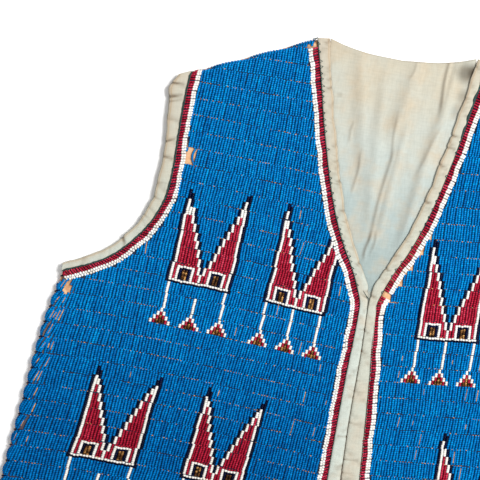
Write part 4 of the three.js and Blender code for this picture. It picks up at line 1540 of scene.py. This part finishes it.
def gap_threads(wearer):
    """Thin tan lines of hide and thread between two strings of a lane."""
    beads, fall, dice = layouts[wearer], FALL[wearer], dice_of(wearer, 81, 83)
    x, y, inside = beads["x"], beads["y"], beads["inside"]
    chance = np.zeros(len(x))
    for share, x_from, x_to, y_from, y_to in GAPS[wearer]:
        chance = np.where((x > x_from) & (x < x_to) & (y > y_from) & (y < y_to), share, chance)
    by_side = (inside > 2) & (inside < 11) & (y < -20) & (y > -150)
    chance = np.where(by_side, BY_SIDE, chance)
    pick = (beads["row"] == 3) & (beads["colour"] == BLUE) & (dice.uniform(size=len(chance)) < chance)
    t, slope, count = beads["t"][pick], beads["slope"][pick], int(pick.sum())
    x, y = x[pick] + RIB * 0.5 * beads["wider"][pick], y[pick] + 0.7
    rise = lane_height(x + slope * 0.5, t + 0.5, fall) - lane_height(x - slope * 0.5, t - 0.5, fall)
    along = unit(np.stack([slope + dice.normal(0, 0.03, count), rise], -1))
    centre, across, way, up = frames_on(x, y, along, np.full(count, 1.12))
    long, thick = dice.uniform(1.4, 4.6, (count, 1)), dice.uniform(0.2, 0.42, (count, 1))
    thick = thick + 0.12 * by_side[pick][:, None]
    return copies(
        f"{wearer}_front_gaps", STRING, string_shape, centre, across * thick * MM, way * long * MM,
        up * 0.42 * MM, dice.uniform(0, 1, count), SINEW,
    )


gaps = {wearer: gap_threads(wearer) for wearer in SIGN}
print("threads in the gaps:", {w: len(p.data.polygons) // len(STRING[2]) for w, p in gaps.items()})

# %% [markdown]
# At the armhole one string has come loose. It hangs over the bare hide like a bow: the same beads, on a
# short bent line of their own.

# %% Loose string
def loose_string():
    """One string that hangs loose in the bare place at the armhole, bent like a bow."""
    turn = np.linspace(-1, 1, BEADS)
    x, y = -138.7 - 1.5 * (1 - turn**2), 83.4 + 5.0 * turn
    along = unit(np.stack([np.gradient(x), np.gradient(y)], -1))
    centre, across, way, up = frames_on(x, y, along, np.full(BEADS, 1.1))
    return copies(
        "right_front_loose_string", BEAD, bead_shape, centre, across * 0.85 * MM, way * 0.72 * MM,
        up * 0.9 * MM, np.linspace(0.3, 0.7, BEADS), FINISH[BLUE],
    )


loose = loose_string()
print("beads of the loose string:", BEADS)

# %% [markdown]
# By the side the lanes end in rounded rolls, with narrow crevices between them. Shading alone leaves
# them too light, as the sky reaches into the valleys. Rows of small dark copies of a bead, sunk between
# the rolls and narrower further in, are painted shade in the crevices.

# %% Painted shade between the side rolls
CREVICE_LANES = (-16, 3)  # lanes under the arm that end in rounded rolls
CREVICE_IN = np.array([(-1.6, 0.5), (0.2, 0.5), (2.0, 0.42), (3.8, 0.34), (5.6, 0.24)])  # mm in, half width


def side_crevice_shadows(wearer):
    """Painted shade in the crevices between the rolls of beads by the side, as small dark bead copies."""
    fall, sign, dice = FALL[wearer], SIGN[wearer], dice_of(wearer, 91, 93)
    grid = np.meshgrid(np.arange(*CREVICE_LANES), np.arange(len(CREVICE_IN)), indexing="ij")
    lane, part = (a.ravel() for a in grid)
    keep = CREVICE_IN[part, 0] < dice.uniform(2.5, 7, LOTS[0])[lane + FIRST_LOT[0]]
    lane, part = lane[keep], part[keep]
    t, count = lane_at(lane), len(lane)
    out = meet(t, fall, outline, 150) - CREVICE_IN[part, 0]
    y, slope = lane_height(out, t, fall), lane_height(out + 0.5, t, fall) - lane_height(out - 0.5, t, fall)
    along = unit(np.stack([np.full(count, sign), slope], -1))
    centre, across, way, up = frames_on(sign * out, y, along, np.full(count, 1.0))
    half = CREVICE_IN[part, 1][:, None]
    return copies(
        f"{wearer}_side_tucks", BEAD, bead_shape, centre, across * half * 1.15 * MM, way * 1.0 * MM,
        up * 0.5 * MM, dice.uniform(0, 1, count), FINISH[NAVY],
    )


crevice_shadows = {wearer: side_crevice_shadows(wearer) for wearer in SIGN}
print("parts of the tucks:", {w: len(p.data.polygons) // len(BEAD[2]) for w, p in crevice_shadows.items()})

# %% [markdown]
# Where two lanes meet, the sinew that holds the strings down shows as tan stitches, more in some places
# than in others. A bump map would be lost between the beads, so each stitch is a small flat copy of a
# bead's shape.

# %% Sinew stitches
STITCH_PATCH = 13  # strings that share one chance of showing their stitches


def sinew_stitches(wearer):
    beads, fall, dice = layouts[wearer], FALL[wearer], dice_of(wearer, 51, 53)
    patch = (beads["lane"] + FIRST_LOT[0], (beads["string"] + STRINGS) // STITCH_PATCH)
    chance = dice.uniform(0.05, 0.7, (LOTS[0], 24))[patch] * np.where(beads["colour"] == BLUE, 1, 0.35)
    low = (beads["row"] == 0) & (dice.uniform(size=len(beads["x"])) < chance)
    x, lane = beads["x"][low] + RIB / 2, beads["lane"][low]
    count = len(x)
    t = lane_at(lane) + dice.normal(0, 0.1, count)
    along = unit(np.stack([dice.normal(0, 0.25, count), np.ones(count)], -1))
    centre, across, way, up = frames_on(x, lane_height(x, t, fall), along, np.full(count, GROOVE + 0.45))
    wide, long = dice.uniform(0.18, 0.64, count)[:, None], dice.uniform(0.17, 0.28, (count, 1))
    return copies(
        f"{wearer}_front_sinew", BEAD, bead_shape, centre, across * wide * MM, way * long * MM,
        up * 0.3 * MM, dice.uniform(0, 1, count), SINEW,
    )


sinew = {wearer: sinew_stitches(wearer) for wearer in SIGN}
print("stitches:", {w: len(p.data.polygons) // len(BEAD[2]) for w, p in sinew.items()})

# %% [markdown]
# Dark thread whips the braid to the neck's tape in slanting loops. It could be one long cord, but only
# the part on top shows, so each loop is two short arches that meet at the tip, and at uneven steps, as a
# hand makes them.

# %% Whipping of the neck
WHIPS = {"right": (4.2, 2.2), "left": (6.4, 1.3)}  # from one loop to the next, and a loop's reach
# dark lines drawn as threads are painted shadow in narrow slits: one along a crease by the end of the V, two
# at the corner of the right neck
SLIT_SHADOWS = [((-5.9, 5.6), (-0.2, -0.9)), ((-66.2, 179.0), (-62.4, 180.6)), ((-65.4, 177.8), (-62.8, 180.4))]
THREAD_LOW, THREAD_HIGH = 6.15, 6.6  # heights of a loop's foot on the braid and of its tip on the tape
LOOP_FOOT = 1.2  # from the middle of a loop to each of its feet, along the edge


def threads(name, starts, ends, thick):
    """Dark threads that lie on the tape from one point of the panel to another."""
    low = np.column_stack([starts[:, 0], starts[:, 1] + RISE, np.full(len(starts), THREAD_LOW)]) * MM
    high = np.column_stack([ends[:, 0], ends[:, 1] + RISE, np.full(len(ends), THREAD_HIGH)]) * MM
    way = (high - low) / 2
    across = unit(np.column_stack([right_of(way), np.zeros(len(way))]))
    up = np.tile([0.0, 0.0, 1.0], (len(low), 1))
    return copies(
        name, STRING, string_shape, (low + high) / 2, across * thick * MM, way, up * thick * 1.3 * MM,
        np.linspace(0, 1, len(low)), GREEN,
    )


def whip_stitches(wearer):
    step, reach = WHIPS[wearer]
    dice = dice_of(wearer, 61, 67)
    place, way = walk(NECK_PATH, step, 2.0)
    above = (place[:, 1] > 3) & (dice.uniform(size=len(place)) < 0.75)
    place, way = place[above], way[above]
    size = (len(place), 1)
    place = place + way * dice.normal(0, 0.5, size)
    tip = place - right_of(way) * reach * dice.uniform(0.7, 1.15, size) + way * dice.normal(0, 0.4, size)
    side = np.array([SIGN[wearer], 1.0])
    starts = np.concatenate([place - way * LOOP_FOOT, place + way * LOOP_FOOT]) * side
    ends = np.concatenate([tip, tip]) * side
    # the slit shadows join the whipping as extra dark threads
    if wearer == "right":
        extra = np.array(SLIT_SHADOWS)
        starts, ends = np.concatenate([starts, extra[:, 0]]), np.concatenate([ends, extra[:, 1]])
    return threads(f"{wearer}_neck_whipping", starts, ends, 0.27)


whips = {wearer: whip_stitches(wearer) for wearer in SIGN}
print("whipping:", {w: len(p.data.polygons) // len(STRING[2]) for w, p in whips.items()})

# %% [markdown]
# The sizes the sheets were cut to are worked out from their outlines. They could be measured on the
# finished meshes, but a cut size is known before the sheet is shaped. The fronts and the back lie on each
# other as they were cut, so their flat areas are those of their outlines.

def flat_area(width_at):
    """Area under a width that changes with the height, in square metres."""
    levels = np.linspace(HEM, NECK[1], 600)
    return float(np.sum(width_at(levels)) * (levels[1] - levels[0]) * MM * MM)


NECK_HOLLOW = 6  # depth of the triangle that the back's neck leaves out, mm
front_area = flat_area(lambda y: np.maximum(outline(y) - front_edge(y), 0))
back_area = flat_area(lambda y: 2 * outline(y)) - 0.5 * 2 * NECK[0] * NECK_HOLLOW * MM * MM
for wearer, hide in hides.items():
    own = [*beadwork[wearer], *borders[wearer], sinew[wearer], gaps[wearer], crevice_shadows[wearer]]
    own += [loose] * (wearer == "right")
    own += [t for t in tapes if t.name.startswith(wearer) and "back" not in t.name]
levels = np.linspace(LINING_FOOT, NECKLINE[0, 1], 300)
lining_wide = 2 * (front_edge(levels) - LINING_CLEAR)
print("cut areas in square metres:", round(front_area, 4), round(back_area, 4))

# %% [markdown]
# The vest lies on a pale surface that fills the picture. A backdrop curve isn't needed, because the
# camera looks straight down and never sees an edge.

# %% Surface
SURFACE_LOW = 0.0004  # it lies this far below the vest, so that the two never flicker


def pale_surface():
    bm = bmesh.new()
    bmesh.ops.create_grid(bm, x_segments=1, y_segments=1, size=2.5)
    mesh = to_mesh(bm, "surface")
    floor = bpy.data.objects.new("surface", mesh)
    bpy.context.collection.objects.link(floor)
    material, _, _, shader = new_finish("pale surface")
    shader.inputs["Base Color"].default_value = (0.9, 0.9, 0.9, 1)
    shader.inputs["Roughness"].default_value = 0.9
    mesh.materials.append(material)
    floor.location.z = -SURFACE_LOW


pale_surface()
print("surface laid", SURFACE_LOW, "m below the vest")

# %% [markdown]
# Glass needs something to reflect, and beads need a shadow beside them. A sun would cut hard edges. A
# large soft light from one side, a much weaker one opposite and a bright, even sky give both, and keep
# the shadow on the surface soft.

# %% Light
LIGHTS = {  # place in metres, width of its disk, watts, colour
    "key": ((0.95, 0.66, 1.6), 0.8, 54, (1.0, 0.99, 0.97)),
    "fill": ((-1.4, -0.4, 1.6), 1.4, 3, (0.95, 0.98, 1.0)),
}
SKY = 0.54


def area_light(name, place, size, watts, colour):
    """A disk of light that faces the middle of the vest."""
    light = bpy.data.lights.new(name, "AREA")
    light.shape = "DISK"
    light.size = size
    light.energy = watts
    light.color = colour
    lamp = bpy.data.objects.new(name, light)
    bpy.context.collection.objects.link(lamp)
    lamp.location = place
    x, y, z = place
    lamp.rotation_euler = (math.atan2(math.hypot(x, y), z), 0, math.atan2(-y, -x) - math.pi / 2)


for name, row in LIGHTS.items():
    area_light(name, *row)
world = bpy.data.worlds.new("studio")
bpy.context.scene.world = world
world.use_nodes = True
sky = world.node_tree.nodes["Background"].inputs
sky["Color"].default_value = (1, 1, 1, 1)
sky["Strength"].default_value = SKY
print("lights:", list(LIGHTS))

# %% [markdown]
# The vest is seen from straight above, with its length turned a few degrees off upright and its lower
# half out of the picture. The lens follows from how wide a part of the panel is to be seen. The plain
# view transform is used, because the filmic one would dull the blue of the glass.

# %% Camera
TURN = math.radians(8.0)
VIEW_CENTRE = (-97.8, 28.4)  # on the panel, mm
VIEW_WIDE = 345.6
CAMERA_HIGH = 1.6
SENSOR = 36

view = bpy.data.cameras.new("camera")
camera = bpy.data.objects.new("camera", view)
bpy.context.collection.objects.link(camera)
camera.location = (VIEW_CENTRE[0] * MM, (VIEW_CENTRE[1] + RISE) * MM, CAMERA_HIGH)
camera.rotation_euler = (0, 0, TURN)
view.sensor_width = SENSOR
view.lens = SENSOR * (CAMERA_HIGH - FRONT_TOP * MM) / (VIEW_WIDE * MM)
view.clip_end = 20
bpy.context.scene.camera = camera
bpy.context.scene.view_settings.view_transform = "Standard"
print("lens in mm:", round(view.lens, 1))
